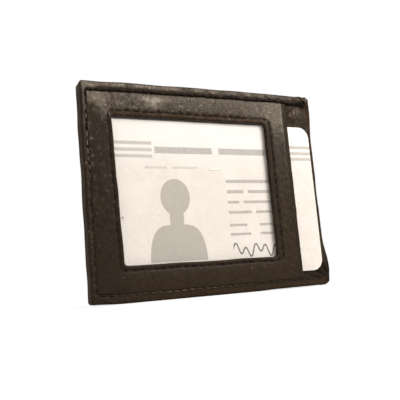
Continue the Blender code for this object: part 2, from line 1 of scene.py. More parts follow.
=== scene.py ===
"""Looks of a slim card holder: sewn leather, an identity window with a card, and a sprung steel money clip.

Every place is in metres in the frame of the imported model: +X runs towards the open side, +Y from the window
to the clip and +Z up from the table. Leather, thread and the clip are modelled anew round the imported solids,
while card, film, linings, board and washers keep theirs.
"""
import functools
import json
import logging
import math
from collections.abc import Callable, Iterable, Sequence
from dataclasses import dataclass, field
from enum import Enum

import bmesh
import bpy
import numpy as np
from bpy.types import Material, Object
from mathutils import Matrix, Vector


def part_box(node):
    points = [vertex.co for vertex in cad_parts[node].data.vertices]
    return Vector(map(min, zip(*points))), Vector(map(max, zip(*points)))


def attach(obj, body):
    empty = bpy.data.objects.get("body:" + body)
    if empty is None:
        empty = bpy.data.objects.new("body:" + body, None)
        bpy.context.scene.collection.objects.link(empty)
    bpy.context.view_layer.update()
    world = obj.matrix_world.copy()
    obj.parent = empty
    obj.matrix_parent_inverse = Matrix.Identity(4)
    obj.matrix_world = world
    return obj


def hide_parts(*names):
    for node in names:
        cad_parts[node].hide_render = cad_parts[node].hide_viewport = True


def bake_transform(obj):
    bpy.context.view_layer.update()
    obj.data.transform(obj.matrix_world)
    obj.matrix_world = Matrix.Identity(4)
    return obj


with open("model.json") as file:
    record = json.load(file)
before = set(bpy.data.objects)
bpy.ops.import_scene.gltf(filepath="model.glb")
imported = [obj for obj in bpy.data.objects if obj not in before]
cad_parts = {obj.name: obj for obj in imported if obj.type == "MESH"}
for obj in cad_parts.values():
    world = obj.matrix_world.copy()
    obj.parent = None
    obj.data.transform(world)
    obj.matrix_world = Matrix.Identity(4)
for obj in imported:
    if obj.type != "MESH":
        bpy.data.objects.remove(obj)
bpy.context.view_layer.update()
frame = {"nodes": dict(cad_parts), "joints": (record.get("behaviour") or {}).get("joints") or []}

log = logging.getLogger("card_holder")
Array = np.ndarray
Triple = tuple[float, float, float]
Colour = Triple
Point = tuple[float, float]
Span = tuple[float, float]
Edges = tuple[float, float, float, float]
WHITE: Colour = (1.0, 1.0, 1.0)
TINY = 1e-9


class Mask(Enum):
    """Painted-on shares that a mesh carries for its finish."""

    # WEAR: real rubbing together with painted sheen and painted highlights
    WEAR = "wear"
    FOLD = "fold"
    # PIT: stitch dimples together with painted shade in grooves, creases, hollows and at the foot
    PIT = "pit"


class Body(Enum):
    """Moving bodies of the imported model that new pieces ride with."""

    WALLET = "wallet"
    ARM = "arm"


class Slot(Enum):
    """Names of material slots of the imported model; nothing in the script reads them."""

    LEATHER = "leather"
    THREAD = "lining"
    STEEL = "steel"
    WIRE = "wire"
    NICKEL = "nickel"


class Expr:
    """A shader socket on which Python's arithmetic adds Math nodes."""

    def __init__(self, tree: "ShaderTree", socket: bpy.types.NodeSocket) -> None:
        """Keep the socket and the tree that new nodes go into."""
        self.tree = tree
        self.socket = socket

    def _math(self, operation: str, *others: "Expr | float") -> "Expr":
        """Add one Math node on this value and the others."""
        return self.tree.add("ShaderNodeMath", {"operation": operation}, dict(enumerate((self, *others))))

    __add__ = __radd__ = functools.partialmethod(_math, "ADD")
    __sub__ = functools.partialmethod(_math, "SUBTRACT")
    __mul__ = __rmul__ = functools.partialmethod(_math, "MULTIPLY")
    __truediv__ = functools.partialmethod(_math, "DIVIDE")
    __abs__ = functools.partialmethod(_math, "ABSOLUTE")
    __lt__ = functools.partialmethod(_math, "LESS_THAN")
    most = functools.partialmethod(_math, "MAXIMUM")
    sine = functools.partialmethod(_math, "SINE")
    root = functools.partialmethod(_math, "SQRT")

    def __rsub__(self, other: float) -> "Expr":
        """Difference from a plain number."""
        return self.tree.add("ShaderNodeMath", {"operation": "SUBTRACT"}, {0: other, 1: self})

    def clamped(self) -> "Expr":
        """The value kept between zero and one."""
        return self.tree.add("ShaderNodeMath", {"operation": "ADD", "use_clamp": True}, {0: self, 1: 0.0})

    def smooth(self, start: float, end: float) -> "Expr":
        """A soft step from zero at start to one at end."""
        values = {"Value": self, "From Min": start, "From Max": end, "To Min": 0.0, "To Max": 1.0}
        return self.tree.add("ShaderNodeMapRange", {"interpolation_type": "SMOOTHSTEP"}, values)


def weighted(weights: Sequence[float], *values: Expr) -> Expr:
    """Sum of values, each by its weight."""
    first, *others = (value * weight for value, weight in zip(values, weights))
    return sum(others, first)


class ShaderTree:
    """Node tree of one material or world, and the one method that adds nodes to it."""

    def __init__(self, block: Material | bpy.types.World) -> None:
        """Start an empty tree whose patterns follow Object coordinates.

        Args:
            block: The new material or world that the tree belongs to.
        """
        self.block = block
        self.block.use_nodes = True
        self.tree = self.block.node_tree
        self.tree.nodes.clear()
        self.place = self.add("ShaderNodeTexCoord", output="Object")

    @classmethod
    def of_material(cls, name: str) -> "ShaderTree":
        """Start the tree of a new material."""
        return cls(bpy.data.materials.new(name))

    def add(self, kind: str, settings: dict[str, object] | None = None,
            values: dict[int | str, object] | None = None, output: int | str = 0) -> Expr:
        """Add a node.

        Args:
            kind: The node's type.
            settings: Its own settings, which are made first.
            values: What its sockets hold, by name or number: numbers, colours or other expressions.
            output: The socket that the result stands for.

        Returns:
            The chosen output as an expression.
        """
        node = self.tree.nodes.new(kind)
        for key, setting in (settings or {}).items():
            setattr(node, key, setting)
        for key, value in (values or {}).items():
            socket = node.inputs[key]
            if isinstance(value, Expr):
                self.tree.links.new(value.socket, socket)
            elif socket.type == "RGBA":
                socket.default_value = (*value, 1.0)
            else:
                socket.default_value = value
        return Expr(self, node.outputs[output])

    def axes(self) -> tuple[Expr, Expr, Expr]:
        """The three coordinates of the surface."""
        return tuple(self.add("ShaderNodeSeparateXYZ", {}, {0: self.place}, axis) for axis in range(3))

    def share(self, mask: Mask) -> Expr:
        """A share that the mesh carries."""
        return self.add("ShaderNodeAttribute", {"attribute_name": mask.value}, output="Fac")

    def stretched(self, stretch: Triple) -> Expr:
        """Object coordinates drawn out along the axes by the given factors."""
        factors = tuple(1.0 / amount for amount in stretch)
        return self.add("ShaderNodeVectorMath", {"operation": "MULTIPLY"}, {0: self.place, 1: factors})

    def noise(self, size: float, detail: float = 2.0, stretch: Triple = (1.0, 1.0, 1.0)) -> Expr:
        """Noise about one half.

        Args:
            size: Size of its features in metres.
            detail: Octaves of finer noise on top.
            stretch: How far the features are drawn out along each axis.

        Returns:
            The noise, between zero and one.
        """
        values = {"Vector": self.stretched(stretch), "Scale": 1.0 / size, "Detail": detail, "Roughness": 0.55}
        return self.add("ShaderNodeTexNoise", {"noise_dimensions": "3D"}, values)

    def pores(self, size: float) -> Expr:
        """Distance from the middle of pores, in shares of their spacing."""
        values = {"Vector": self.place, "Scale": 1.0 / size}
        return self.add("ShaderNodeTexVoronoi", {"feature": "F1"}, values, "Distance")

    def between(self, share: Expr, first: "Expr | Colour", second: "Expr | Colour") -> Expr:
        """A colour between two, by a share."""
        return self.add("ShaderNodeMix", {"data_type": "RGBA"}, {0: share, 6: first, 7: second}, 2)

    def bump(self, height: Expr, depth: float, under: Expr | None = None) -> Expr:
        """A normal that follows a height of the given depth in metres, on top of another one."""
        normal = {} if under is None else {"Normal": under}
        return self.add("ShaderNodeBump", {}, {"Height": height, "Distance": depth, "Strength": 1.0} | normal)

    def seen(self) -> Expr:
        """One for rays that show the background: from the camera, in a gloss or through glass."""
        names = ("Is Camera Ray", "Is Glossy Ray", "Is Transmission Ray")
        return functools.reduce(Expr.most, (self.add("ShaderNodeLightPath", output=name) for name in names))

    def finish(self, values: dict[int | str, object]) -> Material:
        """End the tree in a Principled shader with the given values."""
        return self.end(self.add("ShaderNodeBsdfPrincipled", {}, values))

    def end(self, shader: Expr) -> Material | bpy.types.World:
        """End the tree in any shader.

        Args:
            shader: The shader for its surface.

        Returns:
            The material or world.
        """
        world = isinstance(self.block, bpy.types.World)
        node = self.tree.nodes.new("ShaderNodeOutputWorld" if world else "ShaderNodeOutputMaterial")
        self.tree.links.new(shader.socket, node.inputs["Surface"])
        return self.block


@dataclass(frozen=True)
class Leather:
    """Dark brown leather, finely hatched: grey from rubbing and painted sheen, pale in scuffs and painted
    highlights, redder where folded thin, dark in pits and painted shade.
    """

    name: str = "dark_brown_leather"
    deep: Colour = (0.0135, 0.0080, 0.0036)
    pale: Colour = (0.0435, 0.0275, 0.0146)
    # greyed_sheen: grey for real rubbing and for painted sheen on the upper faces
    greyed_sheen: Colour = (0.150, 0.124, 0.098)
    # rubbed: pale scuffs, and the painted highlights where the sheen share runs highest
    rubbed: Colour = (0.33, 0.300, 0.262)
    folded: Colour = (0.046, 0.024, 0.0125)
    # pitted_and_shaded: dark stitch dimples and painted shade in grooves, creases, hollows and at the foot
    pitted_and_shaded: Colour = (0.0050, 0.0034, 0.0022)
    mottle_size: float = 0.0024
    streak_size: float = 0.00040
    streak_draw: float = 6.0
    speckle_size: float = 0.0010
    hatch_size: float = 0.0008
    hatch_draw: float = 2.0
    hatch_mix: Point = (0.6, 0.4)
    hatch_depth: float = 0.00009
    pore_size: float = 0.00055
    pore_mix: Point = (-0.7, 0.5)
    pore_depth: float = 0.00005
    shade_mix: Triple = (0.30, 0.25, 0.45)
    shade_span: Span = (0.34, 0.66)
    calm: float = 0.55
    calm_heights: Span = (0.012, 0.030)
    fold_mix: Point = (0.85, 0.6)
    scratch_from: float = 0.55
    scratch_mix: Point = (1.4, 1.2)
    bare_scratch: float = 0.2
    rub_and_sheen_mix: Edges = (1.0, 1.0, 0.5, -0.25)
    rub_and_sheen_span: Span = (-0.03, 0.78)
    rub_and_sheen_most: float = 0.9
    scuff_mix: Edges = (0.55, 1.6, 0.4, -0.2)
    scuff_span: Span = (0.38, 1.12)
    scuff_most: float = 0.85
    pit_and_shade_most: float = 1.1
    roughness: float = 0.37
    rough_mix: tuple[float, ...] = (0.20, 0.30, 0.12, 0.60, 0.50)
    specular: float = 0.09

    def make(self) -> Material:
        """Build the material.

        Returns:
            The material.
        """
        tree = ShaderTree.of_material(self.name)
        wear, fold, pit = (tree.share(mask) for mask in (Mask.WEAR, Mask.FOLD, Mask.PIT))
        mottle = tree.noise(self.mottle_size, 3.0) - 0.5
        streak = tree.noise(self.streak_size, 2.0, (1.0, 1.0, self.streak_draw)) - 0.5
        speckle = tree.noise(self.speckle_size, 2.0) - 0.5
        hatch = tree.noise(self.hatch_size, 2.0, (1.0, 1.0, self.hatch_draw))
        cross = tree.noise(self.hatch_size, 2.0, (self.hatch_draw, 1.0, 1.0))
        pores = tree.pores(self.pore_size)

        lively = 1.0 - (1.0 - tree.axes()[2].smooth(*self.calm_heights)) * self.calm
        shade = (weighted(self.shade_mix, mottle, streak, speckle) * lively + 0.5).smooth(*self.shade_span)
        redder = fold * (streak * self.fold_mix[1] + self.fold_mix[0])
        scratches = weighted(self.scratch_mix, hatch.most(cross) - self.scratch_from, speckle)
        caught = scratches * (wear * (1.0 - self.bare_scratch) + self.bare_scratch)
        rub_and_sheen = weighted(self.rub_and_sheen_mix, wear, caught, mottle, pores).smooth(*self.rub_and_sheen_span)
        scuff = weighted(self.scuff_mix, wear, scratches, mottle, pores).smooth(*self.scuff_span)

        colour = tree.between(shade, self.deep, self.pale)
        # Layers: rubbing and painted sheen, scuffs and painted highlights, stitch dimples and painted shade.
        for share, layer in ((redder, self.folded), (rub_and_sheen * self.rub_and_sheen_most, self.greyed_sheen),
                             (scuff * self.scuff_most, self.rubbed), (pit * self.pit_and_shade_most, self.pitted_and_shaded)):
            colour = tree.between(share.clamped(), colour, layer)
        height = tree.bump(weighted(self.hatch_mix, hatch, cross), self.hatch_depth)
        height = tree.bump(weighted(self.pore_mix, pores, streak), self.pore_depth, height)
        rough = weighted(self.rough_mix, mottle, speckle, rub_and_sheen, pit, fold) + self.roughness
        return tree.finish({"Base Color": colour, "Roughness": rough.clamped(), "Normal": height,
                            "Specular IOR Level": self.specular})


@dataclass(frozen=True)
class Thread:
    """Waxed two-ply thread, paler in patches along the foot and beside the left edge."""

    name: str = "brown_thread"
    dark: Colour = (0.0070, 0.0046, 0.0030)
    light: Colour = (0.022, 0.0150, 0.0100)
    shade_span: Span = (0.3, 0.8)
    # a paler thread colour, laid in patches along the foot and beside the left edge
    worn: Colour = (0.25, 0.200, 0.150)
    foot_middle: float = -0.012
    foot_reach: float = 0.032
    foot_top: float = 0.006
    foot_share: float = 0.55
    side_middle: float = 0.052
    side_reach: float = 0.024
    side_right: float = -0.042
    patch_size: float = 0.0035
    patch_span: Span = (0.38, 0.52)
    fuzz_span: Span = (0.3, 0.6)
    ply: float = 0.00034
    depth: float = 0.00006
    roughness: float = 0.75
    rough_fuzz: float = 0.2
    specular: float = 0.15

    def make(self) -> Material:
        """Build the material.

        Returns:
            The material.
        """
        tree = ShaderTree.of_material(self.name)
        across, _, up = tree.axes()
        twist = ((across + up) * (2.0 * math.pi / self.ply)).sine() * 0.5 + 0.5
        fuzz = tree.noise(self.ply, 2.0)
        colour = tree.between((twist * 0.5 + fuzz * 0.5).smooth(*self.shade_span), self.dark, self.light)
        foot = (1.0 - abs(across - self.foot_middle).smooth(0.0, self.foot_reach)) * (up < self.foot_top)
        side = (1.0 - abs(up - self.side_middle).smooth(0.0, self.side_reach)) * (across < self.side_right)
        patchy = tree.noise(self.patch_size, 2.0).smooth(*self.patch_span) * fuzz.smooth(*self.fuzz_span)
        colour = tree.between((foot * self.foot_share).most(side) * patchy, colour, self.worn)
        rough = (fuzz - 0.5) * self.rough_fuzz + self.roughness
        return tree.finish({"Base Color": colour, "Roughness": rough, "Normal": tree.bump(twist, self.depth),
                            "Specular IOR Level": self.specular})


@dataclass(frozen=True)
class ClearFilm:
    """Soft clear film with a faint haze, shallow waves, a painted glint in one thin streak and one speck of
    dirt.
    """

    name: str = "clear_film"
    tint: Colour = (0.90, 0.895, 0.88)
    glint_colour: Colour = (1.0, 1.0, 0.99)
    speck_colour: Colour = (0.06, 0.05, 0.045)
    speck: Point = (-0.0329, 0.0270)
    speck_radius: float = 0.00032
    speck_cover: float = 0.7
    glint_centre: Point = (0.0019, 0.0431)
    glint_reach: Point = (0.0040, 0.00045)
    glint_stray: float = 4.0
    glint_rim: Span = (0.2, 1.0)
    glint_strength: float = 0.6
    haze: float = 0.07
    haze_patches: float = 0.06
    haze_size: float = 0.009
    haze_rough: float = 0.1
    wave_size: float = 0.012
    wave_draw: float = 2.5
    wave_depth: float = 0.0004
    roughness: float = 0.16

    def make(self) -> Material:
        """Build the material.

        Returns:
            The material.
        """
        tree = ShaderTree.of_material(self.name)
        across, _, up = tree.axes()
        aside, above = across - self.speck[0], up - self.speck[1]
        distance = (aside * aside + above * above).root()
        speck = 1.0 - distance.smooth(self.speck_radius * 0.5, self.speck_radius)
        haze = tree.noise(self.haze_size, 3.0)
        wave = tree.noise(self.wave_size, 1.0, (1.0, 1.0, self.wave_draw))
        # painted glint: a white streak in colour and alpha that stands for a reflection on the film
        aside = (across - self.glint_centre[0]) / self.glint_reach[0]
        above = (up - self.glint_centre[1]) / self.glint_reach[1] + (haze - 0.5) * self.glint_stray
        glint = (1.0 - (aside * aside + above * above).root().smooth(*self.glint_rim)) * self.glint_strength
        colour = tree.between(speck, tree.between(glint, self.tint, self.glint_colour), self.speck_colour)
        alpha = (haze - 0.5) * self.haze_patches + self.haze + speck * self.speck_cover + glint
        return tree.finish({"Base Color": colour, "Alpha": alpha.clamped(),
                            "Roughness": haze * self.haze_rough + self.roughness,
                            "Normal": tree.bump(wave, self.wave_depth)})


@dataclass(frozen=True)
class Bar:
    """A printed bar, from the card's lower left corner."""

    left: float
    right: float
    height: float
    thickness: float


@dataclass(frozen=True)
class PrintedCard:
    """Warm white card with generic print: stripes, bars for lines of words, a pictogram and a squiggle."""

    left: float
    bottom: float
    face: float
    name: str = "printed_card"
    paper: Colour = (0.862, 0.822, 0.790)
    fibre: Colour = (0.765, 0.722, 0.680)
    fibre_span: Span = (0.38, 0.66)
    stripe_ink: Colour = (0.50, 0.47, 0.435)
    figure_ink: Colour = (0.425, 0.39, 0.35)
    tint_ink: Colour = (0.78, 0.74, 0.68)
    word_ink: Colour = (0.085, 0.075, 0.065)
    pen_ink: Colour = (0.03, 0.027, 0.025)
    stripes: tuple[Bar, ...] = tuple(Bar(left, right, height, 0.00125)
                                     for height in (0.0461, 0.0438, 0.0416)
                                     for left, right in ((-0.001, 0.0213), (0.0665, 0.087)))
    headings: tuple[Bar, ...] = (Bar(0.0221, 0.0437, 0.0438, 0.0024), Bar(0.0462, 0.0655, 0.0438, 0.0024))
    captions: tuple[Bar, ...] = (Bar(0.0181, 0.0262, 0.0378, 0.0009), Bar(0.0278, 0.0376, 0.0378, 0.0009))
    words: tuple[Bar, ...] = (
        Bar(0.0481, 0.0670, 0.0331, 0.0013), Bar(0.0481, 0.0548, 0.0294, 0.0013),
        Bar(0.0566, 0.0670, 0.0294, 0.0013), Bar(0.0481, 0.0528, 0.0257, 0.0011),
        Bar(0.0545, 0.0670, 0.0257, 0.0011), Bar(0.0481, 0.0575, 0.0221, 0.0011),
        Bar(0.0592, 0.0670, 0.0221, 0.0011), Bar(0.0481, 0.0552, 0.0176, 0.0010),
        Bar(0.0602, 0.0670, 0.0176, 0.0010), Bar(0.0481, 0.0565, 0.0144, 0.0010),
        Bar(0.0602, 0.0655, 0.0144, 0.0010))
    tint_box: Bar = Bar(0.0352, 0.0480, 0.0280, 0.0170)
    figure_centre: float = 0.0284
    head_height: float = 0.0277
    head_radius: float = 0.0054
    head_squeeze: float = 0.86
    neck_half: float = 0.0026
    shoulder_half: float = 0.0103
    shoulder_foot: float = 0.0062
    shoulder_top: float = 0.0185
    squiggle: Bar = Bar(0.0487, 0.0670, 0.0088, 0.0048)
    squiggle_wave: float = 0.0040
    squiggle_parts: tuple[Triple, ...] = ((0.62, 1.0, 0.0), (0.38, 0.43, 0.7))
    pen: float = 0.00036
    # glare_white: painted glare that makes the card paler towards its top
    glare_white: Colour = (0.950, 0.944, 0.935)
    glare_heights: Span = (0.036, 0.052)
    glare_most: float = 0.8
    soft: float = 0.00012
    worn_span: Span = (0.25, 0.60)
    worn_least: float = 0.65
    grain_size: float = 0.0006
    grain_depth: float = 0.00001
    cloud_size: float = 0.011
    roughness: float = 0.62
    rough_grain: float = 0.12

    def _ink(self, depth: Expr) -> Expr:
        """Ink by how far a place lies inside its outline, with a soft rim."""
        return (depth / self.soft).clamped()

    def _bar(self, across: Expr, up: Expr, bar: Bar) -> Expr:
        """Share of ink of one bar."""
        wide = self._ink((bar.right - bar.left) / 2 - abs(across - (bar.left + bar.right) / 2))
        return wide * self._ink(bar.thickness / 2 - abs(up - bar.height))

    def _bars(self, across: Expr, up: Expr, bars: Iterable[Bar]) -> Expr:
        """Share of ink of several bars."""
        return functools.reduce(Expr.most, (self._bar(across, up, bar) for bar in bars))

    def _figure(self, across: Expr, up: Expr) -> Expr:
        """Draw a plain head-and-shoulders pictogram made of an ellipse, a bar and a dome.

        Args:
            across: Place along the card.
            up: Height on the card.

        Returns:
            Its share of ink.
        """
        aside = across - self.figure_centre
        above = (up - self.head_height) * self.head_squeeze
        head = self._ink(self.head_radius - (aside * aside + above * above).root())
        middle, half, throat = self.figure_centre, self.neck_half, self.head_height - self.shoulder_top
        neck = Bar(middle - half, middle + half, self.shoulder_top + throat / 2 - half, throat + half)
        rise = self.shoulder_top - self.shoulder_foot
        wide, high = aside / self.shoulder_half, (up - self.shoulder_foot) / rise
        dome = self._ink((1.0 - (wide * wide * wide * wide + high * high).root()) * rise)
        return head.most(self._bar(across, up, neck)).most(dome * self._ink(up - self.shoulder_foot))

    def _scribble(self, across: Expr, up: Expr) -> Expr:
        """Draw a wavy pen line, as thick on its slopes as on its crests.

        Args:
            across: Place along the card.
            up: Height on the card.

        Returns:
            Its share of ink.
        """
        mark = self.squiggle
        heights, slopes = [], []
        for share, rate, start in self.squiggle_parts:
            number = 2 * math.pi / self.squiggle_wave * rate
            size = share * mark.thickness / 2
            turn = across * number + (start - mark.left * number)
            heights.append(turn.sine() * size)
            slopes.append((turn + math.pi / 2).sine() * (size * number))
        slope = slopes[0] + slopes[1]
        distance = abs(up - mark.height - (heights[0] + heights[1])) / (slope * slope + 1.0).root()
        room = Bar(mark.left, mark.right, mark.height, mark.thickness * 2)
        return self._ink(self.pen - distance) * self._bar(across, up, room)

    def make(self) -> Material:
        """Build the material.

        Returns:
            The material.
        """
        tree = ShaderTree.of_material(self.name)
        x, y, z = tree.axes()
        across, up = x - self.left, z - self.bottom
        grain, cloud = tree.noise(self.grain_size, 3.0), tree.noise(self.cloud_size, 2.0)
        patchy = tree.noise(self.grain_size * 0.8, 2.0).smooth(*self.worn_span)
        worn = patchy * (1.0 - self.worn_least) + self.worn_least
        colour = tree.between((grain * 0.6 + cloud * 0.4).smooth(*self.fibre_span), self.paper, self.fibre)
        # painted glare: the card is paler towards its top, where the light falls
        pale = up.smooth(*self.glare_heights) * self.glare_most
        colour = tree.between(pale, colour, self.glare_white)
        inks = (
            (self._bar(across, up, self.tint_box) * 0.35, self.tint_ink),
            (self._bars(across, up, self.stripes) * 0.9, self.stripe_ink),
            (self._figure(across, up), self.figure_ink),
            (self._bars(across, up, self.headings) * worn * 0.62, self.word_ink),
            (self._bars(across, up, self.captions) * worn * 0.30, self.word_ink),
            (self._bars(across, up, self.words) * worn * 0.60, self.word_ink),
            (self._scribble(across, up) * 0.92, self.pen_ink),
        )
        front = (y < self.face) * (0.82 + grain * 0.3)
        for share, ink in inks:
            colour = tree.between((share * front).clamped(), colour, ink)
        rough = (grain - 0.5) * self.rough_grain + self.roughness
        relief = tree.bump(grain, self.grain_depth)
        return tree.finish({"Base Color": colour, "Roughness": rough, "Normal": relief})


@dataclass(frozen=True)
class Weave:
    """Plain woven lining."""

    name: str = "woven_lining"
    dark: Colour = (0.014, 0.010, 0.008)
    light: Colour = (0.045, 0.034, 0.026)
    shade_span: Span = (0.25, 0.8)
    yarn: float = 0.00035
    slub_draw: float = 5.0
    depth: float = 0.00005
    roughness: float = 0.8
    rough_slub: float = 0.1

    def make(self) -> Material:
        """Build the material.

        Returns:
            The material.
        """
        tree = ShaderTree.of_material(self.name)
        across, _, up = tree.axes()
        turn = math.pi / self.yarn
        weave = (across * turn).sine() * (up * turn).sine() * 0.5 + 0.5
        slub = tree.noise(self.yarn * 4, 2.0, (self.slub_draw, 1.0, 1.0))
        colour = tree.between((weave * 0.6 + slub * 0.4).smooth(*self.shade_span), self.dark, self.light)
        rough = (slub - 0.5) * self.rough_slub + self.roughness
        return tree.finish({"Base Color": colour, "Roughness": rough, "Normal": tree.bump(weave, self.depth)})


@dataclass(frozen=True)
class Board:
    """Grey-brown fibre board."""

    name: str = "fibre_board"
    dark: Colour = (0.17, 0.145, 0.12)
    light: Colour = (0.30, 0.265, 0.225)
    shade_span: Span = (0.3, 0.7)
    fibre: float = 0.0005
    fibre_draw: float = 4.0
    depth: float = 0.00003
    roughness: float = 0.88
    rough_fibre: float = 0.1

    def make(self) -> Material:
        """Build the material.

        Returns:
            The material.
        """
        tree = ShaderTree.of_material(self.name)
        fibre = tree.noise(self.fibre, 4.0, (self.fibre_draw, 1.0, 1.0))
        colour = tree.between(fibre.smooth(*self.shade_span), self.dark, self.light)
        rough = (fibre - 0.5) * self.rough_fibre + self.roughness
        return tree.finish({"Base Color": colour, "Roughness": rough, "Normal": tree.bump(fibre, self.depth)})


@dataclass(frozen=True)
class Metal:
    """Metal with fine brush lines along one direction."""

    name: str
    dark: Colour
    light: Colour
    roughness: float
    draw: Triple
    shade_span: Span = (0.3, 0.75)
    line: float = 0.00009
    smudge_size: float = 0.007
    rough_mix: Point = (0.14, 0.12)
    depth: float = 0.0000035

    def make(self) -> Material:
        """Build the material.

        Returns:
            The material.
        """
        tree = ShaderTree.of_material(self.name)
        lines = tree.noise(self.line, 3.0, self.draw)
        smudge = tree.noise(self.smudge_size, 3.0)
        colour = tree.between((lines * 0.6 + smudge * 0.4).smooth(*self.shade_span), self.dark, self.light)
        rough = weighted(self.rough_mix, lines - 0.5, smudge - 0.5) + self.roughness
        return tree.finish({"Base Color": colour, "Metallic": 1.0, "Roughness": rough.clamped(),
                            "Normal": tree.bump(lines, self.depth)})


@dataclass(frozen=True)
class Box:
    """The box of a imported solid, by the wallet's own directions."""

    left: float
    right: float
    front: float
    back: float
    bottom: float
    top: float

    @classmethod
    def of(cls, node: str) -> "Box":
        """Read a solid's box from the frame."""
        low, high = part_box(node)
        return cls(low[0], high[0], low[1], high[1], low[2], high[2])


def smooth(value: Array, start: float, end: float) -> Array:
    """A soft step from zero at start to one at end."""
    share = np.clip((value - start) / (end - start), 0.0, 1.0)
    return share * share * (3.0 - 2.0 * share)


def stripe(value: Array, rise: Span, fall: Span) -> Array:
    """A soft stripe, which comes up over one span and goes down over another."""
    return smooth(value, *rise) * (1.0 - smooth(value, *fall))


def shoulder(distance: Array, radius: float) -> Array:
    """Share of the full height over a quarter-round edge: zero at the edge, one from a radius inwards."""
    share = np.clip(distance / radius, 0.0, 1.0)
    return np.sqrt(1.0 - (1.0 - share) ** 2)


def valley(distance: Array, width: float) -> Array:
    """A soft furrow, one in its middle and zero outside."""
    return np.exp(-(distance / width) ** 2)


def arch(from_one: Array, from_other: Array) -> Array:
    """A low arch between two edges, by the distances from them: one halfway and zero at both."""
    share = np.clip(from_one / np.maximum(from_one + from_other, TINY), 0.0, 1.0)
    return 4.0 * share * (1.0 - share)


def outside(edges: Edges, x: Array, z: Array) -> Array:
    """How far a place lies outside the left, right, lower and upper edge of an opening."""
    return np.maximum.reduce([edges[0] - x, x - edges[1], edges[2] - z, z - edges[3]])


@dataclass(frozen=True)
class Scuff:
    """A soft patch on a face: a pale scuff, and also used for painted sheen and highlights; where its strength
    is negative, left dark.
    """

    centre: Point
    reach: Point
    strength: float = 1.0
    lean: float = 0.0

    def __call__(self, x: Array, z: Array) -> Array:
        """Its share at each place."""
        aside = x + (z - self.centre[1]) * self.lean - self.centre[0]
        return self.strength * valley(aside, self.reach[0]) * valley(z - self.centre[1], self.reach[1])


@dataclass(frozen=True)
class Ripple:
    """Smooth random relief over the wallet's face, a sum of waves of like length."""

    height: float
    length: float
    seed: int
    waves: int = 16
    spread: Span = (0.7, 1.6)
    calm: float = 1.5

    def __call__(self, x: Array, z: Array) -> Array:
        """Add the waves up.

        Args:
            x: Places across.
            z: Places up.

        Returns:
            The relief at each place.
        """
        source = np.random.default_rng(self.seed)
        heading = source.uniform(0.0, 2.0 * math.pi, self.waves)
        number = 2.0 * math.pi / (self.length * source.uniform(*self.spread, self.waves))
        start = source.uniform(0.0, 2.0 * math.pi, self.waves)
        turn = x[:, None] * (number * np.cos(heading)) + z[:, None] * (number * np.sin(heading)) + start
        return self.height * np.sin(turn).sum(axis=1) * math.sqrt(2.0 / self.waves) / self.calm


def total(parts: Iterable[Scuff | Ripple], x: Array, z: Array) -> Array:
    """Sum of several patches or ripples at each place."""
    return sum(part(x, z) for part in parts)


def graded(marks: Sequence[float], widest: Sequence[float], fine: float = 0.00011, growth: float = 0.35,
           samples: int = 400) -> Array:
    """Grid lines through all marks, close together near them and wider apart between them.

    Args:
        marks: Places that get a line, in rising order.
        widest: Widest spacing in each interval.
        fine: Spacing beside a mark.
        growth: How fast the spacing grows away from a mark.
        samples: Places in an interval at which the spacing is worked out.

    Returns:
        The places of the lines.
    """
    pieces = []
    for start, end, limit in zip(marks, marks[1:], widest):
        place = np.linspace(start, end, samples)
        gap = np.minimum(limit, fine + growth * np.minimum(place - start, end - place))
        count = np.concatenate([[0.0], np.cumsum(np.diff(place) * 2.0 / (gap[1:] + gap[:-1]))])
        steps = max(1, math.ceil(count[-1]))
        pieces.append(np.interp(np.arange(steps) / steps * count[-1], count, place))
    return np.append(np.concatenate(pieces), marks[-1])


@dataclass
class CellSkin:
    """Closed skin of quads round the filled cells of a grid with uneven lines."""

    lines: tuple[Array, Array, Array]
    filled: Callable[[Array, Array, Array], Array]

    def __post_init__(self) -> None:
        """Collect the faces between a filled cell and an empty one."""
        middles = [(axis[1:] + axis[:-1]) / 2.0 for axis in self.lines]
        solid = np.pad(self.filled(*np.meshgrid(*middles, indexing="ij")), 1).astype(np.int8)
        counts = [len(axis) for axis in self.lines]
        number = np.arange(math.prod(counts)).reshape(counts)
        quads = []
        for axis in range(3):
            inside = [slice(1, -1)] * 3
            inside[axis] = slice(None)
            change = np.diff(solid, axis=axis)[tuple(inside)]
            for sign in (1, -1):
                quads.append(self._faces(np.argwhere(change == sign), number, axis, sign))
        used, compact = np.unique(np.concatenate(quads), return_inverse=True)
        steps = np.stack(np.unravel_index(used, counts), axis=1)
        self.quads = compact.reshape(-1, 4)
        self.points = np.stack([self.lines[axis][steps[:, axis]] for axis in range(3)], axis=1)
        self.x, self.y, self.z = self.points.T
        self.on_front, self.on_back = steps[:, 1] == 0, steps[:, 1] == counts[1] - 1

    @staticmethod
    def _faces(cells: Array, number: Array, axis: int, sign: int) -> Array:
        """Find the faces on one side of some cells.

        Args:
            cells: Grid steps of the cells.
            number: Number of each grid point.
            axis: The axis that the faces are square to.
            sign: One where the solid begins along the axis, and minus one where it ends.

        Returns:
            The faces' corner numbers, turned outwards.
        """
        corners = []
        for first, second in ((0, 0), (1, 0), (1, 1), (0, 1)):
            moved = cells.copy()
            moved[:, (axis + 1) % 3] += first
            moved[:, (axis + 2) % 3] += second
            corners.append(number[moved[:, 0], moved[:, 1], moved[:, 2]])
        faces = np.stack(corners, axis=1)
        return faces[:, ::-1] if sign == 1 else faces


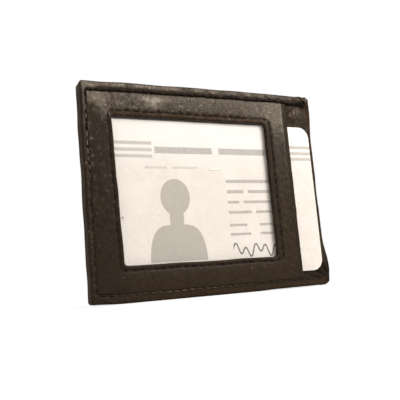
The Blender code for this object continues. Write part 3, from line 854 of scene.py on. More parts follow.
@dataclass(frozen=True)
class Row:
    """A straight row of stitches, between two places on a face."""

    start: Point
    end: Point
    depth: float
    pitch: float = 0.0027

    def marks(self, x: Array, z: Array, width: float, pit: Point) -> tuple[Array, Array]:
        """Press the furrow that the tight thread pulls, and a long dimple under each stitch.

        Args:
            x: Places across.
            z: Places up.
            width: Width of the furrow.
            pit: Width and half length of a dimple.

        Returns:
            Shares of the furrow's depth and of the dimples' depth at each place.
        """
        across, up = self.end[0] - self.start[0], self.end[1] - self.start[1]
        length = math.hypot(across, up)
        across, up = across / length, up / length
        along = (x - self.start[0]) * across + (z - self.start[1]) * up
        aside = (z - self.start[1]) * across - (x - self.start[0]) * up
        furrow = valley(aside, width) * stripe(along, (-width, width), (length - width, length + width))
        number = np.clip(np.floor(along / self.pitch), 0, math.floor(length / self.pitch) - 1)
        from_middle = along - (number + 0.5) * self.pitch
        return furrow, np.exp(-(from_middle / pit[1]) ** 4 - (aside / pit[0]) ** 2)

    def path(self) -> list[Triple]:
        """Lay the line that carries the stitches' middles.

        Returns:
            Its two ends.
        """
        across, up = self.end[0] - self.start[0], self.end[1] - self.start[1]
        share = self.pitch / 2.0 / math.hypot(across, up)
        return [(self.start[0] + across * along, self.depth, self.start[1] + up * along)
                for along in (share, 1.0 - share)]


@dataclass(frozen=True)
class Handwork:
    """How far the sewn body strays from its straight pattern, in the plane of its faces."""

    half_width: float
    height: float
    window: Edges
    band: float
    front: float = -0.00315
    middle_front: float = -0.00055
    top_bow: float = 0.00030
    top_bow_centre: float = -0.12
    left_lift: float = 0.00045
    right_lift: float = 0.00026
    left_tuck: float = 0.00025
    window_lean: float = 0.0010
    window_widen: float = 0.00048
    widen_fade: Span = (0.0020, 0.0090)
    window_raise: float = 0.00030
    raise_across: float = 0.006
    raise_above: float = 0.045
    raise_fade: Span = (0.0025, 0.0033)
    wander: tuple[Ripple, Ripple] = (Ripple(0.00008, 0.011, 11), Ripple(0.00008, 0.011, 12))
    pinch_span: Span = (0.0335, 0.0435)
    pinch: float = 0.0016
    pinch_ease: float = 0.45
    draw_in: float = 0.0018
    border_fade: Span = (0.003, 0.008)
    flare_least: float = 0.00015
    flare_foot: float = 0.0017
    flare_foot_height: float = 0.0068
    flare_foot_reach: float = 0.0072
    flare_top: float = 0.0006
    flare_top_span: Span = (0.055, 0.065)
    flare_across: Span = (0.88, 0.99)
    flare_depth: Span = (-0.0012, -0.0004)

    def _pinched(self, points: Array) -> Array:
        """Draw the front layers together, and back from the open side, where the border ends.

        Args:
            points: Places as rows of x, y and z.

        Returns:
            The moved places.
        """
        x, y, z = points.T
        share = np.clip((self.middle_front - y) / (self.middle_front - self.front), 0.0, 1.0)
        start, end = self.border_fade
        border = 1.0 - stripe(z, self.border_fade, (self.height - end, self.height - start))
        amount = 1.0 - self.pinch_ease * smooth(z, self.height / 2, self.height)
        moved = points.copy()
        moved[:, 1] += self.pinch * smooth(x, *self.pinch_span) * share * border * amount
        moved[:, 0] -= self.draw_in * smooth(x, self.pinch_span[0], self.half_width) * share * border
        return moved

    def _flared(self, x: Array, y: Array, z: Array) -> Array:
        """Let the leather on the open side stand out, flared at both corners and hollow between them.

        Args:
            x: Places across.
            y: Places in depth.
            z: Places up.

        Returns:
            How far each place moves.
        """
        reach = self.flare_least + self.flare_foot * valley(z - self.flare_foot_height, self.flare_foot_reach)
        reach += self.flare_top * smooth(z, *self.flare_top_span)
        return reach * smooth(x / self.half_width, *self.flare_across) * smooth(y, *self.flare_depth)

    def _window_moves(self, x: Array, z: Array, up: Array) -> tuple[Array, Array]:
        """Lean the window's left edge, widen the window and raise its upper edge.

        Args:
            x: Places across.
            z: Places up.
            up: The same, from minus one at the foot to one at the top.

        Returns:
            How far each place moves across and up.
        """
        west, east, _, north = self.window
        near = stripe(x, (-self.half_width + self.band, west), (west, west + self.half_width / 3.0))
        beyond = tuple(east + offset for offset in self.widen_fade)
        across = self.window_widen * stripe(x, (0.0, east), beyond)
        left = 1.0 - smooth(x, west, self.raise_across)
        fade = (north + self.raise_fade[0], self.height - self.raise_fade[1])
        raised = self.window_raise * left * stripe(z, (self.raise_above, north), fade)
        return across - self.window_lean * up * near, raised

    def move(self, points: Array) -> Array:
        """Move points from the pattern to where the sewn leather lies.

        Args:
            points: Places as rows of x, y and z.

        Returns:
            The moved places.
        """
        moved = self._pinched(points)
        x, y, z = points.T
        across, up = x / self.half_width, z / self.height * 2.0 - 1.0
        moved[:, 2] += self.top_bow * (1.0 - (across - self.top_bow_centre) ** 2) * smooth(up, 0.0, 1.0)
        lift = self.left_lift * smooth(-across, 0.75, 1.0) + self.right_lift * smooth(across, 0.0, 0.6)
        moved[:, 2] += lift * smooth(-up, 0.3, 1.0)
        leaning = smooth(y, self.front, -self.front * 0.7) * (0.65 + 0.35 * (1.0 - up))
        moved[:, 0] += self.left_tuck * leaning * smooth(-across, 0.85, 1.0)
        moved[:, 0] += self._flared(x, y, z)
        aside, raised = self._window_moves(x, z, up)
        moved[:, 0] += aside + self.wander[0](x, z)
        moved[:, 2] += raised + self.wander[1](x, z)
        return moved


def placed(name: str, data: bpy.types.ID) -> Object:
    """Put data into the scene.

    Args:
        name: The new object's name.
        data: Its mesh, curve, lamp or camera.

    Returns:
        The object, at the origin.
    """
    item = bpy.data.objects.new(name, data)
    bpy.context.scene.collection.objects.link(item)
    return item


def soften(mesh: bpy.types.Mesh, sharp: float) -> None:
    """Shade a mesh smooth, but for edges past an angle in degrees."""
    mesh.shade_smooth()
    mesh.set_sharp_from_angle(angle=math.radians(sharp))


def plain_mesh(host: Object) -> bpy.types.Mesh:
    """The plain mesh that an object's curve or modifiers come to."""
    evaluated = host.evaluated_get(bpy.context.evaluated_depsgraph_get())
    return bpy.data.meshes.new_from_object(evaluated)


def make_piece(name: str, points: Array, faces: Iterable[Sequence[int]], material: Material,
               masks: dict[Mask, Array] | None = None, sharp: float = 50.0) -> Object:
    """Turn points and faces into a smooth-shaded piece.

    Args:
        name: The piece's name.
        points: Places as rows of x, y and z.
        faces: Corner numbers of each face.
        material: Its finish.
        masks: Shares for each point that the finish reads.
        sharp: Angle in degrees past which an edge stays sharp.

    Returns:
        The new object, at the origin.
    """
    mesh = bpy.data.meshes.new(name)
    mesh.from_pydata(points.tolist(), [], faces.tolist() if isinstance(faces, Array) else list(faces))
    soften(mesh, sharp)
    for mask, values in (masks or {}).items():
        mesh.attributes.new(mask.value, "FLOAT", "POINT").data.foreach_set("value", values.astype(np.float32))
    mesh.materials.append(material)
    return placed(name, mesh)


def adopt(piece: Object, body: Body, nodes: Sequence[str] = ()) -> None:
    """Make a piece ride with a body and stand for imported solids.

    Args:
        piece: The finished piece.
        body: The body that it moves with.
        nodes: The solids that it replaces.
    """
    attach(piece, body.value)
    if nodes:
        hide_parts(*nodes)
    log.info("%s: %d faces on %s", piece.name, len(piece.data.polygons), body.value)


@dataclass
class Pattern:
    """Window, border and seams that the sewn pieces share."""

    cover: Box = field(default_factory=lambda: Box.of("rear_cover"))
    panel: Box = field(default_factory=lambda: Box.of("front_panel"))
    centre: Box = field(default_factory=lambda: Box.of("centre_panel"))
    film: Box = field(default_factory=lambda: Box.of("window_film"))
    film_margin: float = 0.0030
    edge_round: float = 0.00080
    band_left: float = 0.0019
    band_top: float = 0.0032
    band_bottom: float = 0.0029
    band_thickness: float = 0.0007
    field_front: float = 0.00015
    soft_groove: float = 0.15
    groove_opens: Span = (0.0090, 0.0040)
    seam_inset: float = 0.00032
    proud: float = 0.00015
    window_seam: Edges = (0.0013, 0.0024, 0.0014, 0.0017)
    back_seam: float = 0.0025
    furrow_width: float = 0.00040
    furrow_depth: float = 0.00010
    furrow_shade: float = 0.3
    pit_size: Point = (0.00036, 0.00105)
    pit_depth: float = 0.00020
    pit_shade: float = 0.8
    pit_mean: float = 0.75
    pit_stray: Ripple = Ripple(0.5, 0.0042, 27)
    pit_range: Span = (0.15, 1.4)

    def __post_init__(self) -> None:
        """Work out the edges of window, border and seams, and how the sewn body strays from its pattern."""
        film, margin = self.film, self.film_margin
        self.window = (film.left + margin, film.right - margin, film.bottom + margin, film.top - margin)
        self.left, self.right, self.top = self.cover.left, -self.cover.left, self.cover.top
        self.band_edges = (self.left + self.band_left, self.band_bottom, self.top - self.band_top)
        west, east, south, north = self.window
        offsets = self.window_seam
        self.seam_box = (west - offsets[0], east + offsets[1], south - offsets[2], north + offsets[3])
        self.handwork = Handwork(self.right, self.top, self.window, self.band_left)

    def border_rows(self) -> list[Row]:
        """Lay the rows of stitches along the border.

        Returns:
            The rows at its left, top and bottom.
        """
        left, bottom, top = self.band_edges
        inset, end = self.seam_inset, self.right - self.edge_round
        depth = self.cover.front + self.furrow_depth
        return [Row((left - inset, bottom), (left - inset, top + inset), depth),
                Row((left, top + inset), (end, top + inset), depth),
                Row((left, bottom - inset), (end, bottom - inset), depth - self.proud)]

    def window_rows(self) -> list[Row]:
        """Lay the rows of stitches round the window.

        Returns:
            The four rows.
        """
        west, east, south, north = self.seam_box
        depth = self.panel.front + self.field_front + self.furrow_depth
        ends = (((west, north), (east, north)), ((east, north), (east, south)),
                ((west, south), (east, south)), ((west, north), (west, south)))
        return [Row(start, end, depth) for start, end in ends]

    def back_rows(self) -> list[Row]:
        """Lay the rows of stitches on the back, along three edges.

        Returns:
            The three rows.
        """
        inset, depth, end = self.back_seam, self.cover.back - self.furrow_depth, self.right - self.edge_round
        low, high = (self.left + inset, inset), (self.left + inset, self.top - inset)
        return [Row(low, high, depth), Row(high, (end, high[1]), depth), Row(low, (end, low[1]), depth)]

    def open_groove(self, z: Array) -> Array:
        """How open the groove beside the border is: wide under the top border, nearly closed elsewhere."""
        start, end = (self.top - below for below in self.groove_opens)
        return self.soft_groove + (1.0 - self.soft_groove) * smooth(z, start, end)

    def sewn(self, rows: Sequence[Row], x: Array, z: Array) -> tuple[Array, Array]:
        """Press seams into a face.

        Args:
            rows: The rows of stitches on that face.
            x: Places across.
            z: Places up.

        Returns:
            How deep each place is pressed, and how dark it is painted: shade in the furrows and in the dimples
            under the stitches.
        """
        furrow, pits = np.max([row.marks(x, z, self.furrow_width, self.pit_size) for row in rows], axis=0)
        pits *= np.clip(self.pit_mean + self.pit_stray(x, z), *self.pit_range)
        # painted shade in the furrows and in the dimples under the stitches
        dark = np.clip(furrow * self.furrow_shade + pits * self.pit_shade, 0.0, 1.0)
        return furrow * self.furrow_depth + pits * self.pit_depth, dark


@dataclass
class LeatherPiece:
    """What the leather pieces share: each has a skin, and gives its shape, its rubbing and painted sheen, its
    folds, and its pits and painted shade.
    """

    leather: Material
    pattern: Pattern
    node: str = ""
    skin: CellSkin = field(init=False)

    def build(self) -> None:
        """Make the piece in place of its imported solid."""
        masks = {Mask.WEAR: self._wear_and_sheen(), Mask.FOLD: self._folded(), Mask.PIT: self._pits_and_shade()}
        piece = make_piece(f"{self.node}_leather", self._shaped(), self.skin.quads, self.leather, masks)
        adopt(piece, Body.WALLET, [self.node])


@dataclass
class RearCover(LeatherPiece):
    """Rear cover, turned round three edges onto the front, with a lump where the top border ends."""

    node: str = "rear_cover"
    corner_tight: float = 0.00100
    corner_worn: float = 0.0026
    wall: float = 0.0009
    thickness: float = 0.0008
    lip_width: float = 0.0012
    lip_rise: float = 0.0005
    cell: float = 0.00042
    back_cell: float = 0.00052
    depth_cells: Edges = (0.0004, 0.0014, 0.0004, 0.0004)
    depth_fine: float = 0.00016
    band_roll: float = 0.00030
    crown: float = 0.000036
    relief_rim: float = 0.8
    front_relief: tuple[Ripple, ...] = (Ripple(0.00005, 0.0018, 21), Ripple(0.00003, 0.006, 22))
    back_relief: tuple[Ripple, ...] = (Ripple(0.00003, 0.0035, 23), Ripple(0.00003, 0.012, 24))
    pull_least: float = 0.34
    pull_heights: Span = (0.012, 0.045)
    lump_across: Span = (0.0385, 0.0415)
    lump_below_top: Span = (0.0040, 0.0022)
    lump_rough: tuple[Ripple, ...] = (Ripple(1.0, 0.0016, 25), Ripple(0.4, 0.0008, 26))
    lump_out: Point = (0.00035, 0.00030)
    lump_up: Point = (0.00020, 0.00016)
    lump_aside: float = 0.00012
    lump_rim: float = 0.0008
    lump_shade: Point = (0.35, 0.6)
    lump_shade_most: float = 0.9
    crest: tuple[Span, Span] = ((0.0002, 0.0009), (0.0012, 0.0022))
    crest_wear: Point = (0.12, 0.55)
    crest_from: float = 0.05
    back_crest_wear: float = 0.22
    wear_mean: float = 0.75
    wear_stray: Ripple = Ripple(0.6, 0.0065, 29)
    corner_scuff: Scuff = Scuff((-0.0414, 0.0696), (0.0030, 0.0009))
    top_wear: float = 0.22
    top_sheen_span: Span = (0.0010, 0.0022)
    back_wear: Ripple = Ripple(0.16, 0.014, 28)
    side_across: Span = (0.0002, 0.0010)
    side_depth: Span = (-0.0032, -0.0022)
    side_wear: Ripple = Ripple(0.20, 0.0040, 30)
    side_wear_mean: float = 0.12
    side_wear_most: float = 0.28
    side_fold: float = 0.8
    side_dark: Point = (0.25, 0.15)
    foot_fold: float = 0.35
    foot_fold_height: Span = (-0.0002, 0.0006)
    foot_fold_across: Span = (-0.034, -0.026)
    foot_shade: float = 0.18
    end_fold: float = 0.6
    end_fold_span: Span = (0.0012, 0.0003)
    groove_shade: float = 0.4

    def __post_init__(self) -> None:
        """Cut the blank, and measure it against border, seams and lump."""
        cut = self.pattern
        left, bottom, top = cut.band_edges
        self.inner = cut.cover.back - self.thickness
        self.skin = CellSkin(self._lines(), self._filled)
        x, z = self.skin.x, self.skin.z
        self.from_edge = np.minimum.reduce([x - cut.left, z, cut.top - z])
        self.from_groove = np.maximum.reduce([left - x, bottom - z, z - top])
        pulled = self.pull_least + (1.0 - self.pull_least) * smooth(z, *self.pull_heights)
        self.press, self.dark = (value * pulled for value in cut.sewn(cut.border_rows(), x, z))
        self.back_press, self.back_dark = cut.sewn(cut.back_rows(), x, z)
        self.sunk = (1.0 - shoulder(self.from_groove, self.band_roll)) * cut.open_groove(z)
        under_top = (cut.top - below for below in self.lump_below_top)
        self.lump = smooth(x, *self.lump_across) * smooth(z, *under_top)
        self.rough = self.lump * total(self.lump_rough, x, z)
        self.side = (1.0 - smooth(x - cut.left, *self.side_across)) * smooth(self.skin.y, *self.side_depth)

    def _lines(self) -> tuple[Array, Array, Array]:
        """Lay the grid that the blank is cut from.

        Returns:
            Its lines across, in depth and up.
        """
        cut, cell = self.pattern, self.cell
        left, bottom, top = cut.band_edges
        across = (cut.left, cut.left + self.wall, left, cut.right - self.lip_width, cut.right)
        deep = (cut.cover.front, cut.cover.front + cut.band_thickness, self.inner - self.lip_rise, self.inner,
                cut.cover.back)
        up = (0.0, self.wall, bottom, top, cut.top - self.wall, cut.top)
        return (graded(across, (cell, cell, self.back_cell, cell)),
                graded(deep, self.depth_cells, self.depth_fine),
                graded(up, (cell, cell, self.back_cell, cell, cell)))

    def _filled(self, x: Array, y: Array, z: Array) -> Array:
        """Tell which cells are leather: back wall, border wall, band and the lip on the open side.

        Args:
            x: Places of the cells across.
            y: Places of the cells in depth.
            z: Places of the cells up.

        Returns:
            True where a cell is filled.
        """
        cut = self.pattern
        left, bottom, top = cut.band_edges
        border = (x < cut.left + self.wall) | (z < self.wall) | (z > cut.top - self.wall)
        band = ((x < left) | (z < bottom) | (z > top)) & (y < cut.cover.front + cut.band_thickness)
        lip = (x > cut.right - self.lip_width) & (y > self.inner - self.lip_rise)
        return (y > self.inner) | border | band | lip

    def _round_edges(self) -> Array:
        """Round the outer corners in front view, and the turned edges in section.

        Returns:
            The blank's places after that.
        """
        cut, turn = self.pattern, self.pattern.edge_round
        x, y, z = self.skin.x, self.skin.y, self.skin.z
        radius = np.where((x > 0.0) & (z < cut.top / 2.0), self.corner_worn, self.corner_tight)
        middle_x = np.clip(x, cut.left + radius, cut.right - radius)
        middle_z = np.clip(z, radius, cut.top - radius)
        ring = np.maximum(np.abs(x - middle_x), np.abs(z - middle_z))
        to_front, to_back = y - cut.cover.front, cut.cover.back - y
        depth, inset = np.minimum(to_front, to_back), radius - ring
        first, second = turn - inset, turn - depth
        near = (first > 0.0) & (second > 0.0) & (ring > 0.0)
        scale = np.maximum(first, second) / np.maximum(np.hypot(first, second), TINY)
        inset = np.where(near, turn - first * scale, inset)
        depth = np.where(near, turn - second * scale, depth)
        length = np.maximum(np.hypot(x - middle_x, z - middle_z), TINY)
        drawn = np.where(ring > 0.0, (radius - inset) / length, 0.0)
        rounded_y = np.where(to_front < to_back, cut.cover.front + depth, cut.cover.back - depth)
        x, z = middle_x + (x - middle_x) * drawn, middle_z + (z - middle_z) * drawn
        return np.stack([x, rounded_y, z], axis=1)

    def _shaped(self) -> Array:
        """Press the seams and the relief in, raise the lump, and let the piece lie as it was sewn.

        Returns:
            The finished places.
        """
        cut, skin = self.pattern, self.skin
        x, z = skin.x, skin.z
        points = self._round_edges()
        fade = smooth(self.from_edge, 0.0, cut.edge_round * self.relief_rim)
        front = self.band_roll * self.sunk + self.press + total(self.front_relief, x, z)
        front -= self.crown * arch(self.from_groove, self.from_edge)
        back = self.back_press + sum(ripple(x, z) + ripple.height for ripple in self.back_relief)
        out = self.lump * self.lump_out[0] + self.rough * self.lump_out[1]
        points[:, 1] += np.where(skin.on_front, front * fade - out, 0.0)
        points[:, 1] -= np.where(skin.on_back, back * fade, 0.0)
        raised = self.lump * (self.lump_up[0] + self.rough * self.lump_up[1])
        points[:, 2] += raised * smooth(z, cut.top - self.lump_rim, cut.top)
        points[:, 0] += self.rough * self.lump_aside * smooth(x, cut.right - self.lump_rim, cut.right)
        return cut.handwork.move(points)

    def _wear_and_sheen(self) -> Array:
        """Rub the crests, the left side and the back, and paint sheen on the crests, rising towards the top,
        and along the top border.

        Returns:
            The share of rubbing and painted sheen.
        """
        cut, skin = self.pattern, self.skin
        x, z = skin.x, skin.z
        crest = stripe(self.from_edge, *self.crest)
        uneven = self.wear_mean + self.wear_stray(x, z)
        # painted sheen: the crests grow paler towards the top; the base share is rubbing
        rising = self.crest_wear[0] + self.crest_wear[1] * smooth(z, self.crest_from, cut.top)
        wear = np.where(skin.y < 0.0, crest * uneven * rising, crest * self.back_crest_wear)
        wear += self.corner_scuff(x, z) * uneven
        # painted sheen along the top border
        start, end = (cut.band_edges[2] + above for above in self.top_sheen_span)
        wear += self.top_wear * smooth(z, start, end) * (1.0 - self.lump)
        wear += np.where(skin.on_back, np.clip(self.back_wear(x, z), 0.0, self.back_wear.height), 0.0)
        rubbed = np.clip(self.side_wear_mean + self.side_wear(x, z), 0.0, self.side_wear_most)
        return wear + self.side * rubbed

    def _folded(self) -> Array:
        """Stretch the leather thin along the foot, at the open end and on the left side.

        Returns:
            The share of fold.
        """
        cut, x = self.pattern, self.skin.x
        foot = smooth(cut.band_bottom - self.skin.z, *self.foot_fold_height)
        foot *= smooth(x, *self.foot_fold_across)
        end = smooth(x, *(cut.right - inset for inset in self.end_fold_span))
        return np.maximum.reduce([foot * self.foot_fold, end * self.end_fold, self.side * self.side_fold])

    def _pits_and_shade(self) -> Array:
        """Paint shade into the seams' furrows, the groove, the lump's hollows and the band's foot, and darken
        the turned edge faces.

        Returns:
            The share of pits and painted shade.
        """
        skin = self.skin
        # painted shade in the lump's hollows, at the band's foot and in the groove
        shaded = self.lump_shade[0] - self.rough * self.lump_shade[1]
        hollow = self.lump * np.clip(shaded, 0.0, self.lump_shade_most)
        front = self.dark + hollow + self.foot_shade * (skin.z < self.pattern.band_bottom)
        edge = self.side_dark[0] - self.side_dark[1] * self.side
        face = np.where(skin.on_front, np.maximum(front, self.sunk * self.groove_shade), self.back_dark)
        return np.clip(np.where(skin.on_front | skin.on_back, face, edge), 0.0, 1.0)


@dataclass
class FrontPanel(LeatherPiece):
    """Padded front panel, with a turned hem round the window and along its free edge."""

    node: str = "front_panel"
    window_corners: Edges = (0.0009, 0.0012, 0.0016, 0.0005)
    corner_fade: float = 4.0
    cell: float = 0.00042
    groove: float = 0.00005
    groove_front: float = -0.0026
    groove_filled: float = 0.00030
    field_roll: float = 0.00055
    fold_rise: float = 0.0002
    crown: float = 0.00012
    hem_crown: Point = (0.00005, 0.00006)
    hem_crown_from: float = 0.030
    relief: tuple[Ripple, ...] = (Ripple(0.00002, 0.0020, 31), Ripple(0.00002, 0.009, 32))
    rim_roll: float = 0.0004
    free_hem: float = 0.0019
    free_hem_step: float = 0.0002
    free_hem_rise: float = 0.00008
    free_roll: float = 0.0003
    free_seam_depth: float = 0.00012
    free_seam_width: float = 0.00018
    back_step: float = 0.0005
    back_free_roll: float = 0.00025
    back_rim_roll: float = 0.0002
    border_wear: float = 0.20
    border_stripe: tuple[Span, Span] = ((0.0002, 0.0008), (0.0010, 0.0022))
    border_heights: Span = (0.01, 0.07)
    top_wear: float = 0.32
    top_shares: Span = (0.72, 0.90)
    right_wear: float = 0.15
    right_across: Span = (0.0, 0.03)
    crown_wear: float = 0.12
    scuffs: tuple[Scuff, ...] = (
        Scuff((-0.0394, 0.0664), (0.0027, 0.0014), 0.72), Scuff((-0.0376, 0.0642), (0.0020, 0.0016), 0.42),
        # The patch at 24.4 mm across is a painted highlight; the others are scuffs, a patch left dark and a
        # nick.
        Scuff((-0.0412, 0.0610), (0.0020, 0.0026), -0.60), Scuff((0.0244, 0.0629), (0.0006, 0.0005), 1.3),
        Scuff((-0.0354, 0.0604), (0.0005, 0.0005), 1.5))
    kite: tuple[Scuff, ...] = (
        Scuff((-0.0197, 0.0661), (0.0040, 0.00075), 2.4),
        Scuff((-0.02054, 0.0647), (0.0020, 0.0016), 0.96, 0.2))
    kite_most: float = 1.7
    thumb_sheen: Scuff = Scuff((0.0275, 0.0590), (0.0060, 0.0085), 0.42)
    flecks: tuple[Ripple, ...] = (Ripple(0.30, 0.0028, 33), Ripple(0.18, 0.0014, 34))
    fleck_most: float = 0.36
    fleck_heights: Span = (0.015, 0.035)
    free_wear: float = 0.45
    free_highlight_inset: float = 0.0003
    free_highlight_heights: Span = (0.020, 0.055)
    hem_wear: float = 0.35
    hem_highlight_inset: float = 0.0011
    hem_highlight_width: float = 0.0002
    hem_highlight_heights: Span = (0.010, 0.050)
    turned_less_sheen: float = 0.7
    turned_shade: float = 0.30
    hem_fold: Point = (0.65, 0.10)
    left_shade: float = 0.30
    left_shade_across: Span = (-0.001, 0.002)
    left_shade_heights: Span = (0.056, 0.062)
    right_hem_shade: float = 0.25
    rim_width: float = 0.0006
    rim_shade: float = 0.45
    groove_width: float = 0.0004
    groove_shade: float = 0.6

    def __post_init__(self) -> None:
        """Cut the blank, and measure it against window, seams, border and free edge."""
        cut, outer = self.pattern, self.pattern.panel
        west, east, south, north = cut.window
        left, bottom, top = cut.band_edges
        left, bottom, top = left + self.groove, bottom + self.groove, top - self.groove
        up = (outer.bottom, bottom, south, north, top, outer.top)
        cells = [self.cell] * len(up)
        lines = (graded((outer.left, left, west, east, outer.right), cells),
                 np.array((outer.front, outer.back)), graded(up, cells))
        self.skin = CellSkin(lines, lambda x, y, z: outside(cut.window, x, z) > 0.0)
        x, z = self.skin.x, self.skin.z
        self.inset = np.minimum.reduce([x - left, z - bottom, top - z])
        self.past_window, self.past_seam = outside(cut.window, x, z), outside(cut.seam_box, x, z)
        self.to_free = outer.right - x
        self.on_hem = self.past_seam < 0.0
        self.on_frame = self.past_seam > 0.0
        self.turned = 1.0 - smooth(self.to_free, self.free_hem - self.free_hem_step, self.free_hem)
        self.crowned = arch(np.minimum(self.inset, self.to_free), self.past_seam) * self.on_frame
        self.press, self.dark = cut.sewn(cut.window_rows(), x, z)

    def _round_window(self) -> Array:
        """Round the window's corners, less and less away from them.

        Returns:
            The blank's places after that.
        """
        west, east, south, north = self.pattern.window
        corners = ((west, south, 1.0, 1.0), (east, south, -1.0, 1.0), (east, north, -1.0, -1.0),
                   (west, north, 1.0, -1.0))
        start = self.skin.points
        rounded = start.copy()
        for (x, z, inward_x, inward_z), radius in zip(corners, self.window_corners):
            aside = (x + inward_x * radius - start[:, 0]) * inward_x
            above = (z + inward_z * radius - start[:, 2]) * inward_z
            near = (aside > 0.0) & (above > 0.0)
            ring = np.maximum(aside, above)
            circle = ring / np.maximum(np.hypot(aside, above), TINY)
            back_to_square = smooth(ring, radius, radius * self.corner_fade)
            drawn = np.where(near, (1.0 - circle) * (1.0 - back_to_square), 0.0)
            rounded[:, 0] += inward_x * aside * drawn
            rounded[:, 2] += inward_z * above * drawn
        return rounded

    def _front(self) -> Array:
        """Pad the face, press its seams in and roll its rims.

        Returns:
            The face's places in depth.
        """
        cut, z = self.pattern, self.skin.z
        closed = (1.0 - cut.open_groove(z)) / (1.0 - cut.soft_groove)
        border = self.groove_front - self.groove_filled * closed
        face = cut.panel.front + cut.field_front
        tucked = cut.cover.front + cut.band_thickness + self.fold_rise
        on_field = self.inset > 0.0
        front = np.where(on_field, border + (face - border) * shoulder(self.inset, self.field_roll), tucked)
        hem = np.clip(self.past_window / np.maximum(self.past_window - self.past_seam, TINY), 0.0, 1.0)
        hem_crown = self.hem_crown[0] + self.hem_crown[1] * smooth(z, self.hem_crown_from, cut.window[3])
        lift = self.crown * self.crowned + hem_crown * np.sin(math.pi * hem * self.on_hem)
        lift += total(self.relief, self.skin.x, z) + self.free_hem_rise * self.turned
        sink = self.press + self.free_seam_depth * valley(self.to_free - self.free_hem, self.free_seam_width)
        for distance, roll in ((self.past_window, self.rim_roll), (self.to_free, self.free_roll)):
            sink += roll * (1.0 - shoulder(distance, roll))
        return front + np.where(on_field, (sink - lift) * smooth(self.inset, 0.0, self.field_roll), 0.0)

    def _back(self) -> Array:
        """Thin the panel past its hem and roll the rims of its inner side.

        Returns:
            The inner side's places in depth.
        """
        thinned = smooth(self.to_free, self.free_hem, self.free_hem + self.back_step)
        back = self.pattern.panel.back - self.fold_rise * thinned
        back -= self.back_free_roll * (1.0 - shoulder(self.to_free, self.free_roll))
        return back - self.back_rim_roll * (1.0 - shoulder(self.past_window, self.back_rim_roll))

    def _wear_and_sheen(self) -> Array:
        """Rub the border and the named scuffs, and paint sheen on the border, top and crown and highlights on
        the hems.

        Returns:
            The share of wear.
        """
        cut, x, z = self.pattern, self.skin.x, self.skin.z
        west, east, _, north = cut.window
        above = z > north
        # border_wear: rubbing on the border's crest, with painted sheen rising towards the top
        wear = self.border_wear * stripe(self.inset, *self.border_stripe) * smooth(z, *self.border_heights)
        # painted sheen along the top, towards the right and on the crown above the window
        wear += self.top_wear * smooth(z, *(cut.top * share for share in self.top_shares))
        wear += (self.right_wear * smooth(x, *self.right_across) + self.crown_wear * self.crowned) * above
        wear += total(self.scuffs, x, z) + np.clip(total(self.kite, x, z), 0.0, self.kite_most)
        flecks = np.clip(total(self.flecks, x, z), 0.0, self.fleck_most) * smooth(z, *self.fleck_heights)
        # thumb_sheen: painted sheen on the strip right of the window
        wear += (flecks * (x < west) + self.thumb_sheen(x, z)) * self.on_frame
        # painted highlights along the free hem and the window's right hem
        beside = valley(self.to_free - self.free_hem - self.free_highlight_inset, self.free_seam_width)
        wear += self.free_wear * beside * smooth(z, *self.free_highlight_heights)
        ridge = valley(self.past_window - self.hem_highlight_inset, self.hem_highlight_width) * (x > east)
        wear += self.hem_wear * ridge * smooth(z, *self.hem_highlight_heights)
        # the turned free edge keeps less painted sheen, so its painted shade shows
        return np.where(self.skin.on_front, wear * (1.0 - self.turned_less_sheen * self.turned), 0.0)

    def _pits_and_shade(self) -> Array:
        """Paint shade into the seams, the groove, the left strip, the turned free edge and the hems.

        Returns:
            The share of pits and painted shade.
        """
        cut, x, z = self.pattern, self.skin.x, self.skin.z
        west, east, _, north = cut.window
        # painted shade on the left strip, the right hem, the turned free edge, the window's top rim and in the
        # groove
        strip = 1.0 - smooth(x, *(west + offset for offset in self.left_shade_across))
        shaded = self.left_shade * strip * (1.0 - smooth(z, *self.left_shade_heights))
        shaded += self.right_hem_shade * self.on_hem * (x > east) + self.turned_shade * self.turned
        shaded += self.rim_shade * (1.0 - smooth(self.past_window, 0.0, self.rim_width)) * (z > north)
        groove = (1.0 - smooth(self.inset, 0.0, self.groove_width)) * cut.open_groove(z) * self.groove_shade
        pit = np.maximum.reduce([self.dark, groove, shaded])
        return np.where(self.skin.on_front, np.clip(pit, 0.0, 1.0), 0.0)

    def _folded(self) -> Array:
        """Stretch the leather thin over the hem."""
        return self.on_hem * np.where(self.skin.z > self.pattern.window[3], *self.hem_fold)

    def _shaped(self) -> Array:
        """Round the window, pad the face, and let the piece lie as it was sewn.

        Returns:
            The finished places.
        """
        points = self._round_window()
        points[:, 1] = np.where(self.skin.on_front, self._front(), self._back())
        return self.pattern.handwork.move(points)


